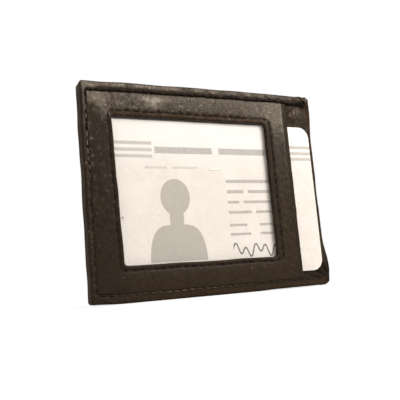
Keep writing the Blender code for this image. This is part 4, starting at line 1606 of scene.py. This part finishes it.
@dataclass
class CentrePanel(LeatherPiece):
    """Centre panel behind the card, creased like a fan in its lower corner on the open side."""

    node: str = "centre_panel"
    hem: float = 0.0013
    hem_rise: float = 0.0001
    cell: float = 0.00042
    wide_cell: float = 0.003
    thinner: float = 0.0001
    edge_roll: float = 0.0004
    waves: Ripple = Ripple(0.00003, 0.004, 41)
    fan_corner: Point = (0.0005, 0.0022)
    fan_folds: float = 15.0
    fan_stray: Point = (1.3, 4.0)
    fan_reach: tuple[Span, Span] = ((0.0008, 0.0022), (0.0045, 0.0095))
    fan_depth: float = 0.00016
    fan_start: float = 0.001
    sewn_up: float = 0.0016
    sewn_top: Span = (0.0115, 0.0035)
    sewn_foot: Span = (0.0015, 0.0055)
    sewn_behind: float = 0.35
    sewn_step: Span = (-0.0005, 0.0010)
    sewn_start: Span = (-0.008, -0.002)
    sewn_ease: float = 0.75
    sewn_end: Span = (-0.009, -0.002)
    edge_fold: Span = (0.0022, 0.0004)
    edge_fold_heights: Span = (0.030, 0.062)
    wear_least: float = 0.05
    fan_wear: float = 0.04
    sheen: Scuff = Scuff((0.0056, 0.0656), (0.0042, 0.0026), 0.46)
    fan_shade: float = 0.35
    foot_shade: float = 0.5
    foot_heights: Span = (0.006, 0.012)
    shade_dark: float = 0.20
    shade_width: float = 0.0016
    top_shade: float = 0.30
    top_heights: Span = (0.0660, 0.0685)
    hem_shade: float = 0.35
    hem_shade_inset: float = 0.0026
    hem_shade_width: float = 0.0006
    hem_shade_heights: Span = (0.030, 0.050)

    def __post_init__(self) -> None:
        """Cut the blank, and lay out the fan of creases."""
        cut, box = self.pattern, self.pattern.centre
        cell, wide, free = self.cell, self.wide_cell, cut.panel.right
        lines = (graded((box.left, free - wide, box.right - self.hem, box.right), (wide, cell, cell)),
                 np.array((box.front, box.back)),
                 graded((box.bottom, cut.band_bottom, cut.top - cut.band_top, box.top), (cell, cell, cell)))
        self.skin = CellSkin(lines, lambda x, y, z: np.ones_like(x, dtype=bool))
        x, z = self.skin.x, self.skin.z
        self.past_free, self.to_edge = x - free, box.right - x
        aside, above = self.to_edge - self.fan_corner[0], z - self.fan_corner[1]
        turn = np.arctan2(above, aside)
        size, rate = self.fan_stray
        folds = np.sin(turn * self.fan_folds + size * np.sin(turn * rate))
        self.fan = folds * stripe(np.hypot(above, aside), *self.fan_reach)

    def _shaped(self) -> Array:
        """Crease the corner, roll the edge, and draw the sewn ends to the front.

        Returns:
            The finished places.
        """
        cut, box, skin = self.pattern, self.pattern.centre, self.skin
        past, z = self.past_free, skin.z
        rolled = self.edge_roll * (1.0 - shoulder(self.to_edge, self.edge_roll))
        thick = self.hem_rise * (1.0 - smooth(self.to_edge, self.hem * 0.8, self.hem)) - rolled
        creases = self.fan_depth * self.fan * smooth(past, -self.fan_start, self.fan_start)
        front = box.front + self.thinner - thick - creases - self.waves(skin.x, z)
        ends = smooth(z, *(cut.top - below for below in self.sewn_top)) + 1.0 - smooth(z, *self.sewn_foot)
        drawn = self.sewn_behind + (1.0 - self.sewn_behind) * smooth(past, *self.sewn_step)
        eased = 1.0 - self.sewn_ease * smooth(-self.to_edge, *self.sewn_end)
        drawn *= smooth(past, *self.sewn_start) * eased
        points = skin.points.copy()
        points[:, 1] = np.where(skin.on_front, front, box.back - self.thinner + thick)
        points[:, 1] -= self.sewn_up * ends * drawn
        return cut.handwork.move(points)

    def _pits_and_shade(self) -> Array:
        """Paint shade into the creases, at both ends, in the front panel's shade and along the hem.

        Returns:
            The share of pits and painted shade.
        """
        z = self.skin.z
        # painted shade in the crease valleys, under the top border, at the foot, beside the front panel and
        # along the hem's furrow
        pit = self.fan_shade * np.clip(-self.fan, 0.0, 1.0) + self.top_shade * smooth(z, *self.top_heights)
        pit += self.foot_shade * (1.0 - smooth(z, *self.foot_heights))
        pit += self.shade_dark * (1.0 - smooth(self.past_free, 0.0, self.shade_width))
        furrow = valley(self.to_edge - self.hem_shade_inset, self.hem_shade_width)
        return np.clip(pit + self.hem_shade * furrow * smooth(z, *self.hem_shade_heights), 0.0, 1.0)

    def _wear_and_sheen(self) -> Array:
        """Lay a little rubbing all over, and paint sheen on the creases' ridges and on the thumb strip."""
        # painted sheen on the creases' ridges; the base share is a little rubbing
        creased = self.wear_least + self.fan_wear * np.clip(self.fan, 0.0, 1.0)
        return creased + self.sheen(self.past_free, self.skin.z)

    def _folded(self) -> Array:
        """Stretch the leather thin along the upper part of the open edge."""
        return smooth(self.to_edge, *self.edge_fold) * smooth(self.skin.z, *self.edge_fold_heights)


class StitchInput(Enum):
    """Named inputs of the stitch tree."""

    PITCH = "Pitch"
    LENGTH = "Stitch Length"
    RADIUS = "Thread Radius"
    UNEVEN = "Unevenness"
    MATERIAL = "Thread"


@dataclass
class Stitching:
    """Stitches along the seams, laid by Geometry Nodes."""

    thread: Material
    pattern: Pattern
    length: float = 0.0021
    radius: float = 0.00022
    uneven: float = 0.10
    seed: int = 7
    segments: int = 8
    rings: int = 6

    def _tree(self) -> bpy.types.NodeTree:
        """Build the node tree that lays one stitch at each step along the seams.

        Returns:
            The tree.
        """
        tree = bpy.data.node_groups.new("stitches_along_seam", "GeometryNodeTree")
        pitch, length, radius, uneven, material = (item.value for item in StitchInput)
        numbers = ((name, "INPUT", "Float") for name in (pitch, length, radius, uneven))
        for name, side, kind in (("Geometry", "INPUT", "Geometry"), *numbers, (material, "INPUT", "Material"),
                                 ("Geometry", "OUTPUT", "Geometry")):
            tree.interface.new_socket(name, in_out=side, socket_type=f"NodeSocket{kind}")
        parts = (
            ("given", "NodeGroupInput", {}, {}),
            ("curve", "GeometryNodeMeshToCurve", {}, {"Mesh": ("given", "Geometry")}),
            ("points", "GeometryNodeCurveToPoints", {"mode": "LENGTH"},
             {"Curve": ("curve", "Curve"), "Length": ("given", pitch)}),
            ("ball", "GeometryNodeMeshUVSphere", {}, {"Segments": self.segments, "Rings": self.rings}),
            ("half", "ShaderNodeMath", {"operation": "MULTIPLY"}, {0: ("given", length), 1: 0.5}),
            ("size", "ShaderNodeCombineXYZ", {},
             {"X": ("half", 0), "Y": ("given", radius), "Z": ("given", radius)}),
            ("shape", "GeometryNodeTransform", {}, {"Geometry": ("ball", "Mesh"), "Scale": ("size", 0)}),
            ("least", "ShaderNodeMath", {"operation": "MULTIPLY"}, {0: ("given", uneven), 1: -1.0}),
            ("stray", "FunctionNodeRandomValue", {"data_type": "FLOAT_VECTOR"},
             {"Min": ("least", 0), "Max": ("given", uneven), "Seed": self.seed}),
            ("heading", "ShaderNodeVectorMath", {}, {0: ("points", "Tangent"), 1: ("stray", "Value")}),
            ("turn", "FunctionNodeAlignRotationToVector", {"axis": "X"}, {"Vector": ("heading", 0)}),
            ("place", "GeometryNodeInstanceOnPoints", {},
             {"Points": ("points", "Points"), "Instance": ("shape", "Geometry"),
              "Rotation": ("turn", "Rotation")}),
            ("real", "GeometryNodeRealizeInstances", {}, {"Geometry": ("place", "Instances")}),
            ("soft", "GeometryNodeSetShadeSmooth", {}, {"Geometry": ("real", "Geometry")}),
            ("paint", "GeometryNodeSetMaterial", {},
             {"Geometry": ("soft", "Geometry"), "Material": ("given", material)}),
            ("result", "NodeGroupOutput", {}, {"Geometry": ("paint", "Geometry")}),
        )
        made = {}
        for name, kind, settings, inputs in parts:
            node = made[name] = tree.nodes.new(kind)
            for key, setting in settings.items():
                setattr(node, key, setting)
            for key, value in inputs.items():
                if isinstance(value, tuple):
                    tree.links.new(made[value[0]].outputs[value[1]], node.inputs[key])
                else:
                    node.inputs[key].default_value = value
        return tree

    def sew(self, name: str, rows: Sequence[Row], tree: bpy.types.NodeTree) -> None:
        """Lay the stitches of some rows and turn them into one plain mesh.

        Args:
            name: The piece's name.
            rows: The rows, which share one pitch.
            tree: The stitch tree.
        """
        line = bpy.data.meshes.new(f"{name}_line")
        edges = [(2 * index, 2 * index + 1) for index in range(len(rows))]
        line.from_pydata([point for row in rows for point in row.path()], edges, [])
        host = placed(line.name, line)
        modifier = host.modifiers.new("stitches", "NODES")
        modifier.node_group = tree
        values = (rows[0].pitch, self.length, self.radius, self.uneven, self.thread)
        sockets = {item.name: item.identifier for item in tree.interface.items_tree if item.in_out == "INPUT"}
        for item, value in zip(StitchInput, values):
            modifier[sockets[item.value]] = value
        mesh = plain_mesh(host)
        bpy.data.objects.remove(host, do_unlink=True)
        places = np.empty(len(mesh.vertices) * 3)
        mesh.vertices.foreach_get("co", places)
        mesh.vertices.foreach_set("co", self.pattern.handwork.move(places.reshape(-1, 3)).ravel())
        mesh.update()
        adopt(placed(name, mesh), Body.WALLET)

    def build(self) -> None:
        """Sew the front and the back."""
        tree = self._tree()
        self.sew("stitching_front", self.pattern.border_rows() + self.pattern.window_rows(), tree)
        self.sew("stitching_back", self.pattern.back_rows(), tree)


@dataclass
class PocketLayers:
    """Card, film, linings and board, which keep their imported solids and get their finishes."""

    print_depth: float = 0.00005

    def dress(self) -> None:
        """Give each layer its finish."""
        card = Box.of("id_card")
        printed = PrintedCard(card.left, card.bottom, card.front + self.print_depth)
        finishes = {"id_card": printed, "window_film": ClearFilm(), "pocket_lining_front": Weave(),
                    "stiffener_board": Board()}
        made = {node: finish.make() for node, finish in finishes.items()}
        made["pocket_lining_back"] = made["pocket_lining_front"]
        for node, material in made.items():
            frame["nodes"][node].material_slots[0].material = material
            log.info("%s: %s", node, material.name)


@dataclass
class MoneyClip:
    """Riveted base plate, sprung arm with its thumb lever, hinge pin and torsion spring."""

    steel: Material
    wire: Material
    nickel: Material
    plate: Box = field(default_factory=lambda: Box.of("clip_base_plate"))
    plate_thickness: float = 0.0006
    plate_nose: float = 0.0050
    plate_heel: float = 0.0015
    plate_edge: float = 0.00012
    bedding: float = 0.00017
    width: float = 0.0170
    ear_thickness: float = 0.0007
    ear_inset: float = 0.00015
    ear_wall: float = 0.0006
    base_ear_wall: float = 0.0008
    ear_edge: float = 0.0001
    pin_radius: float = 0.0008
    pin_play: float = 0.0001
    pin_head_radius: float = 0.00125
    pin_head_height: float = 0.00035
    pin_head_dome: float = 0.55
    pin_dome_turn: float = math.pi / 2.15
    seat_gap: float = 0.0002
    arm_thickness: float = 0.0006
    arm_edge: float = 0.00014
    arm_tail: float = 0.0062
    arm_tail_flare: float = 0.0006
    arm_crest: float = 0.0020
    arm_press: float = 0.0460
    arm_reach: float = 0.0540
    arm_lip_rise: float = 0.0022
    arm_press_gap: float = 0.0003
    arm_nose: float = 0.0050
    arm_tail_corner: float = 0.0020
    arm_waist_end: float = 0.0040
    arm_shoulder: float = 0.0045
    wire_radius: float = 0.00025
    wire_gap: float = 0.0002
    spring_pitch: float = 0.00125
    spring_curls: float = 7.5
    spring_leg: float = 0.0052
    rivet_radius: float = 0.0020
    rivet_height: float = 0.00055
    rivet_dome_turn: float = math.pi / 2.1
    rivet_undercut: float = 0.00008
    rivet_shank: float = 0.0010
    rivet_tail: float = 0.0016
    rivet_tail_edge: Point = (0.0002, 0.00005)
    rivet_tail_height: float = 0.0002
    sheet_sharp: float = 30.0
    wire_sharp: float = 50.0
    wire_steps: int = 4
    round_steps: int = 64
    arm_steps: int = 120
    curl_steps: int = 36

    def __post_init__(self) -> None:
        """Work out the hinge's place and heights above the plate's outer face."""
        hinge = next(joint for joint in frame["joints"] if joint["name"] == "clip_hinge")
        self.axis = Vector(hinge["pos_m"])
        self.face = self.plate.front + self.plate_thickness
        self.rise = self.axis.y - self.face
        self.coil = self.pin_radius + self.wire_gap + self.wire_radius
        self.arm_height = self.rise + self.coil + self.wire_radius + self.wire_gap
        self.ear_inner = self.width / 2 - self.ear_inset - self.ear_thickness
        self.waist = self.ear_inner - self.seat_gap

    def _closed(self, name: str, rings: Sequence[Sequence[Vector]], material: Material | None,
                sharp: float = 40.0) -> Object:
        """Loft a closed solid through rings of points and cap its ends.

        Args:
            name: The solid's name.
            rings: Rings of as many points each, from the hinge.
            material: Its finish, if it has one.
            sharp: Angle in degrees past which an edge stays sharp.

        Returns:
            The new object.
        """
        bm = bmesh.new()
        layers = [[bm.verts.new(point + self.axis) for point in ring] for ring in rings]
        for first, second in zip(layers, layers[1:]):
            for index in range(len(first)):
                after = (index + 1) % len(first)
                bm.faces.new((first[index], first[after], second[after], second[index]))
        bm.faces.new(layers[0])
        bm.faces.new(layers[-1])
        bmesh.ops.recalc_face_normals(bm, faces=bm.faces)
        mesh = bpy.data.meshes.new(name)
        bm.to_mesh(mesh)
        bm.free()
        soften(mesh, sharp)
        if material is not None:
            mesh.materials.append(material)
        return placed(name, mesh)

    def _disc(self, radius: float) -> list[Point]:
        """Points round a circle."""
        turns = (2 * math.pi * step / self.round_steps for step in range(self.round_steps))
        return [(radius * math.cos(turn), radius * math.sin(turn)) for turn in turns]

    def _ear(self, radius: float, foot: float, middle: float) -> Object:
        """Make a cheek round the pin with softened rims, run on to the sheet.

        Args:
            radius: Its radius round the pin.
            foot: Height of the sheet from the pin's axis.
            middle: Place of its middle along the axis.

        Returns:
            The new object.
        """
        side = 1.0 if foot > 0.0 else -1.0
        steps = self.round_steps // 2
        half, soft = self.ear_thickness / 2, self.ear_edge
        rings = []
        for z, inset in ((-half, soft), (-half + soft, 0.0), (half - soft, 0.0), (half, soft)):
            reach = radius - inset
            arc = [math.pi * step / steps for step in range(steps + 1)]
            ring = [Vector((reach * math.cos(a), -side * reach * math.sin(a), middle + z)) for a in arc]
            ring += [Vector((-reach, foot, middle + z)), Vector((reach, foot, middle + z))]
            rings.append(ring)
        return self._closed("cheek", rings, None)

    def _hinged(self, piece: Object, wall: float, foot: float, middle: float) -> None:
        """Give a sheet two cheeks and bore them for the pin, with helper solids that are used up.

        Args:
            piece: The sheet.
            wall: Width of a cheek round the bore.
            foot: Height of the sheet from the pin's axis.
            middle: How far the cheeks' middles are from the sheet's.
        """
        bore = self.pin_radius + self.pin_play
        rings = [[Vector((x, y, z)) for x, y in self._disc(bore)] for z in (-self.width, self.width)]
        tools = [(self._ear(bore + wall, foot, side * middle), "UNION") for side in (-1, 1)]
        tools.append((self._closed("bore", rings, None), "DIFFERENCE"))
        for tool, operation in tools:
            modifier = piece.modifiers.new(tool.name, "BOOLEAN")
            modifier.operation = operation
            modifier.object = tool
        mesh = plain_mesh(piece)
        piece.modifiers.clear()
        piece.data = mesh
        soften(mesh, self.sheet_sharp)
        for tool, _ in tools:
            bpy.data.objects.remove(tool, do_unlink=True)

    def base_plate(self) -> None:
        """Flat plate with rounded ends and softened rims, and a cheek at each end of the pin."""
        left, right = self.plate.left - self.axis.x, self.plate.right - self.axis.x
        back, front = self.plate.front - self.axis.y - self.bedding, self.face - self.axis.y
        soft, softer = self.plate_edge, self.plate_edge * 0.3
        levels = ((back, soft), (back + soft, 0.0), (front - soft, 0.0), (front - softer, softer),
                  (front, soft))
        rings = [self._plate_ring(left + inset, right - inset, depth, inset) for depth, inset in levels]
        piece = self._closed("clip_plate", rings, self.steel)
        self._hinged(piece, self.base_ear_wall, (back + front) / 2, self.ear_inner + self.ear_thickness / 2)
        adopt(piece, Body.WALLET, ["clip_base_plate"])

    def _plate_ring(self, left: float, right: float, depth: float, inset: float) -> list[Vector]:
        """Draw the plate's outline at one depth.

        Args:
            left: Its left end.
            right: Its right end.
            depth: Its place in depth.
            inset: How far it is drawn in from the widest outline.

        Returns:
            The outline's points.
        """
        steps, half = self.round_steps // 4, self.width / 2 - inset
        corners = ((left, -half, 1, 1, self.plate_heel), (right, -half, -1, 1, self.plate_nose),
                   (right, half, -1, -1, self.plate_nose), (left, half, 1, -1, self.plate_heel))
        ring = []
        for index, (x, z, inward_x, inward_z, radius) in enumerate(corners):
            round_ = radius - inset
            for step in range(steps + 1):
                angle = math.pi + index * math.pi / 2 + step / steps * math.pi / 2
                ring.append(Vector((x + inward_x * round_ + round_ * math.cos(angle), depth,
                                    z + inward_z * round_ + round_ * math.sin(angle))))
        return ring

    def _arm_height(self, x: float) -> float:
        """Work out the height of the arm's inner face above the plate.

        Args:
            x: Place along the arm, from the hinge.

        Returns:
            The height: flared at the tail, level over the pin, bowed to the press point, lifted past it.
        """
        if x < self.arm_crest:
            past = min(self.arm_crest + x, 0.0) / (self.arm_tail - self.arm_crest)
            return self.arm_height + self.arm_tail_flare * past ** 2
        if x < self.arm_press:
            bow = math.cos(math.pi * (x - self.arm_crest) / (self.arm_press - self.arm_crest))
            return self.arm_press_gap + (self.arm_height - self.arm_press_gap) * (1 + bow) / 2
        share = (x - self.arm_press) / (self.arm_reach - self.arm_press)
        return self.arm_press_gap + self.arm_lip_rise * share ** 2

    def _arm_half(self, x: float) -> float:
        """Work out half the arm's width: narrow between the cheeks, full beyond, rounded at both ends.

        Args:
            x: Place along the arm, from the hinge.

        Returns:
            The half width.
        """
        share = min(max((x - self.arm_waist_end) / self.arm_shoulder, 0.0), 1.0)
        width = self.waist + (self.width / 2 - self.waist) * (1 - math.cos(math.pi * share)) / 2
        for end, radius in ((self.arm_reach - x, self.arm_nose), (x + self.arm_tail, self.arm_tail_corner)):
            if end < radius:
                width -= radius - math.sqrt(max(radius ** 2 - (radius - end) ** 2, 0.0))
        return width

    def _arm_stations(self) -> list[float]:
        """Lay the places of the arm's sections, closer together where its ends are rounded.

        Returns:
            The places along it, from the hinge.
        """
        steps = self.round_steps // 4
        turns = [math.pi / 2 * step / steps for step in range(steps + 1)]
        nose = [self.arm_reach - self.arm_nose * (1 - math.sin(turn)) for turn in turns]
        tail = [-self.arm_tail + self.arm_tail_corner * (1 - math.cos(turn)) for turn in turns]
        start, length = tail[-1], nose[0] - tail[-1]
        return tail + [start + length * step / self.arm_steps for step in range(1, self.arm_steps)] + nose

    def _arm_section(self, x: float) -> list[Vector]:
        """Draw the arm's cross-section with rolled rims, square to its middle line.

        Args:
            x: Place along the arm, from the hinge.

        Returns:
            The section's points.
        """
        roll = self.arm_edge
        slope = (self._arm_height(x + roll) - self._arm_height(x - roll)) / (2 * roll)
        along = Vector((1.0, slope, 0.0)).normalized()
        out = Vector((-along.y, along.x, 0.0))
        foot = Vector((x, self._arm_height(x) - self.rise, 0.0))
        reach, lift = self._arm_half(x) - roll, self.arm_thickness - roll
        ring = []
        for quarter, (up, aside) in enumerate(((roll, -reach), (roll, reach), (lift, reach), (lift, -reach))):
            for turn in range(4):
                angle = math.pi * (1.0 + quarter / 2 + turn / 6)
                side = Vector((0.0, 0.0, aside + roll * math.cos(angle)))
                ring.append(foot + out * (up + roll * math.sin(angle)) + side)
        return ring

    def arm(self) -> None:
        """Sprung arm of bent sheet, with a thumb lever behind the pin."""
        rings = [self._arm_section(x) for x in self._arm_stations()]
        piece = self._closed("clip_arm_sheet", rings, self.steel)
        foot = self.arm_height + self.arm_thickness / 2 - self.rise
        self._hinged(piece, self.ear_wall, foot, self.waist - self.ear_inset - self.ear_thickness / 2)
        adopt(piece, Body.ARM, ["clip_arm"])

    def _turned(self, name: str, profile: Sequence[Point], centre: Vector, along: str,
                material: Material) -> Object:
        """Turn a solid about an axis.

        Args:
            name: The solid's name.
            profile: Its half section as pairs of radius and height.
            centre: A place on the axis, from which the heights are measured.
            along: The axis, Z or Y.
            material: Its finish.

        Returns:
            The new object.
        """
        rings = []
        for radius, height in profile:
            ring = []
            for first, second in self._disc(radius):
                local = Vector((first, second, height)) if along == "Z" else Vector((first, height, -second))
                ring.append(local + centre - self.axis)
            rings.append(ring)
        return self._closed(name, rings, material)

    def pin(self) -> None:
        """Hinge pin with a peened head at each end."""
        seat = self.width / 2 - self.ear_inset + self.pin_play
        dome = self.pin_head_height * self.pin_head_dome
        brow = seat + self.pin_head_height - dome
        domed = [(self.pin_head_radius * math.cos(turn), brow + dome * math.sin(turn))
                 for turn in np.linspace(0.0, self.pin_dome_turn, 7)]
        upper = [(self.pin_radius, seat), (self.pin_head_radius, seat), *domed]
        profile = [(radius, -height) for radius, height in reversed(upper)] + upper
        piece = self._turned("hinge_pin", profile, self.axis, "Z", self.steel)
        adopt(piece, Body.WALLET, ["clip_hinge_pin"])

    def rivets(self) -> None:
        """Domed rivet heads, with their shanks and spread tails inside."""
        for name in ("hinge", "nose"):
            box = Box.of(f"clip_rivet_{name}")
            centre = Vector(((box.left + box.right) / 2, 0.0, (box.bottom + box.top) / 2))
            brow, seat = box.back - self.rivet_height, self.face
            dome = [(self.rivet_radius * math.cos(turn), brow + self.rivet_height * math.sin(turn))
                    for turn in np.linspace(0.0, self.rivet_dome_turn, 12)]
            tail, soft, shank = self.rivet_tail, self.rivet_tail_edge, self.rivet_shank
            spread = box.front + self.rivet_tail_height
            profile = [(tail - soft[0], box.front), (tail, box.front + soft[1]), (tail, spread),
                       (shank, spread), (shank, seat), (self.rivet_radius - self.rivet_undercut, seat), *dome]
            piece = self._turned(f"rivet_{name}", profile, centre, "Y", self.nickel)
            adopt(piece, Body.WALLET, [f"clip_rivet_{name}"])

    def _spring_points(self) -> list[Vector]:
        """Draw the spring's middle line: a leg on the plate, the curls, a leg under the lever.

        Returns:
            Its points, from the hinge.
        """
        count = int(self.spring_curls * self.curl_steps)
        length = self.spring_pitch * self.spring_curls
        curls = []
        for step in range(count + 1):
            angle = -math.pi / 2 + 2 * math.pi * step / self.curl_steps
            curls.append(Vector((self.coil * math.cos(angle), self.coil * math.sin(angle),
                                 -length / 2 + length * step / count)))
        leg = [-self.spring_leg * share for share in np.linspace(0.0, 1.0, 9)]
        first = [Vector((x, -self.coil, -length / 2)) for x in reversed(leg[1:])]
        last = [Vector((x, self._arm_height(x) - self.wire_gap - self.wire_radius - self.rise, length / 2))
                for x in leg[1:]]
        return first + curls + last

    def spring(self) -> None:
        """Torsion spring of one unbroken wire, whose upper leg lies under the arm."""
        curve = bpy.data.curves.new("torsion_spring_line", "CURVE")
        curve.dimensions = "3D"
        curve.bevel_depth = self.wire_radius
        curve.bevel_resolution = self.wire_steps
        curve.use_fill_caps = True
        points = self._spring_points()
        spline = curve.splines.new("POLY")
        spline.points.add(len(points) - 1)
        for target, point in zip(spline.points, points):
            target.co = (*(point + self.axis), 1.0)
        host = placed(curve.name, curve)
        mesh = plain_mesh(host)
        bpy.data.objects.remove(host, do_unlink=True)
        soften(mesh, self.wire_sharp)
        mesh.materials.clear()
        mesh.materials.append(self.wire)
        piece = placed("torsion_spring", mesh)
        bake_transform(piece)
        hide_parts("clip_spring")
        log.info("%s: %d faces between wallet and arm", piece.name, len(mesh.polygons))

    def washers(self) -> None:
        """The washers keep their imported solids."""
        for name in ("hinge", "nose"):
            frame["nodes"][f"rivet_washer_{name}"].material_slots[0].material = self.nickel

    def build(self) -> None:
        """Make the whole clip."""
        self.base_plate()
        self.arm()
        self.pin()
        self.spring()
        self.rivets()
        self.washers()


@dataclass(frozen=True)
class Softbox:
    """A flat area lamp aimed at a place."""

    name: str
    place: Triple
    aim: Triple
    width: float
    height: float
    power: float
    colour: Colour = (1.0, 0.985, 0.96)

    def hang(self) -> None:
        """Put the lamp into the scene."""
        light = bpy.data.lights.new(self.name, "AREA")
        light.shape = "RECTANGLE"
        light.size, light.size_y = self.width, self.height
        light.energy = self.power
        light.color = self.colour
        lamp = placed(self.name, light)
        lamp.location = self.place
        lamp.rotation_mode = "QUATERNION"
        lamp.rotation_quaternion = (Vector(self.aim) - Vector(self.place)).to_track_quat("-Z", "Y")


@dataclass
class Studio:
    """White table and backdrop, soft lamps and the camera at the photograph's place."""

    camera_place: Triple = (-0.09321, -0.18047, 0.0023)
    heading: float = 26.19
    lift: float = 8.563
    roll: float = 4.96
    focal_pixels: float = 593.6
    image_pixels: float = 400.0
    sensor: float = 36.0
    clip: Span = (0.001, 10.0)
    table_half: float = 3.0
    table_seen: Colour = (0.94, 0.94, 0.94)
    table_plain: Colour = (0.46, 0.44, 0.42)
    table_glow: float = 0.55
    mottle_size: float = 0.02
    mottle_dark: float = 0.98
    foot_half: Point = (0.045, 0.004)
    table_near: float = 0.003
    table_far: float = 0.024
    fill: float = 0.44
    fill_tint: Colour = (1.0, 0.94, 0.87)
    white: float = 1.0
    lamps: tuple[Softbox, ...] = (
        Softbox("key", (0.24, -0.39, 0.275), (0.02, 0.0, 0.05), 0.26, 0.18, 2.3, (1.0, 0.94, 0.88)),
        Softbox("top", (-0.10, -0.06, 0.62), (0.0, 0.0, 0.03), 0.40, 0.40, 1.6),
        Softbox("back", (0.15, 0.60, 0.40), (0.0, 0.0, 0.04), 0.40, 0.40, 1.8),
    )

    def shoot(self) -> None:
        """Set the camera up."""
        turn, lift, roll = (math.radians(angle) for angle in (self.heading, self.lift, self.roll))
        forward = Vector((math.sin(turn) * math.cos(lift), math.cos(turn) * math.cos(lift), math.sin(lift)))
        level = Vector((math.cos(turn), -math.sin(turn), 0.0))
        upright = level.cross(forward)
        right = level * math.cos(roll) - upright * math.sin(roll)
        up = upright * math.cos(roll) + level * math.sin(roll)
        data = bpy.data.cameras.new("camera")
        data.sensor_width = self.sensor
        data.lens = self.focal_pixels / self.image_pixels * self.sensor
        data.clip_start, data.clip_end = self.clip
        camera = placed("camera", data)
        turned = Matrix((right, up, -forward)).transposed().to_4x4()
        camera.matrix_world = Matrix.Translation(self.camera_place) @ turned
        bpy.context.scene.camera = camera

    def table(self) -> None:
        """A white table that glows a little where it is seen, so that it fades into the backdrop."""
        tree = ShaderTree.of_material("white_table")
        seen, mottle = tree.seen(), tree.noise(self.mottle_size, 2.0)
        darker = tuple(value * self.mottle_dark for value in self.table_seen)
        colour = tree.between(seen, self.table_plain, tree.between(mottle, self.table_seen, darker))
        plain = tree.add("ShaderNodeBsdfDiffuse", {}, {"Color": colour})
        glow = tree.add("ShaderNodeEmission", {}, {"Color": WHITE, "Strength": self.white})
        across, along, _ = tree.axes()
        aside = (abs(across) - self.foot_half[0]).most(0.0)
        beyond = (abs(along) - self.foot_half[1]).most(0.0)
        away = (aside * aside + beyond * beyond).root().smooth(self.table_near, self.table_far)
        share = seen * (away * (1.0 - self.table_glow) + self.table_glow)
        mixed = tree.add("ShaderNodeMixShader", {}, {0: share, 1: plain, 2: glow})
        half = self.table_half
        corners = np.array([(-half, -half, 0.0), (half, -half, 0.0), (half, half, 0.0), (-half, half, 0.0)])
        make_piece("table", corners, [(0, 1, 2, 3)], tree.end(mixed))

    def sky(self) -> None:
        """White where it is seen, and a soft fill where it only lights."""
        tree = ShaderTree(bpy.data.worlds.new("backdrop"))
        seen = tree.seen()
        values = {"Value": seen, "To Min": self.fill, "To Max": self.white}
        level = tree.add("ShaderNodeMapRange", {}, values)
        tint = tree.between(seen, self.fill_tint, WHITE)
        backdrop = tree.add("ShaderNodeBackground", {}, {"Color": tint, "Strength": level})
        bpy.context.scene.world = tree.end(backdrop)

    def build(self) -> None:
        """Make table, backdrop, lamps and camera."""
        self.shoot()
        self.table()
        self.sky()
        for lamp in self.lamps:
            lamp.hang()
        bpy.context.scene.view_settings.view_transform = "Standard"


def main() -> None:
    """Build the holder from the camera inwards."""
    logging.basicConfig(level=logging.INFO, format="%(name)s: %(message)s")
    Studio().build()
    pattern, leather = Pattern(), Leather().make()
    for part in (RearCover, FrontPanel, CentrePanel):
        part(leather, pattern).build()
    Stitching(Thread().make(), pattern).build()
    PocketLayers().dress()
    steel = Metal("brushed_steel", (0.27, 0.27, 0.268), (0.56, 0.56, 0.55), 0.26, (60.0, 60.0, 1.0))
    wire = Metal("spring_wire", (0.26, 0.26, 0.27), (0.45, 0.45, 0.46), 0.30, (8.0, 1.0, 1.0))
    nickel = Metal("plated_rivet", (0.42, 0.41, 0.39), (0.60, 0.59, 0.56), 0.24, (1.0, 1.0, 1.0))
    MoneyClip(steel.make(), wire.make(), nickel.make()).build()


if __name__ == "__main__":
    main()
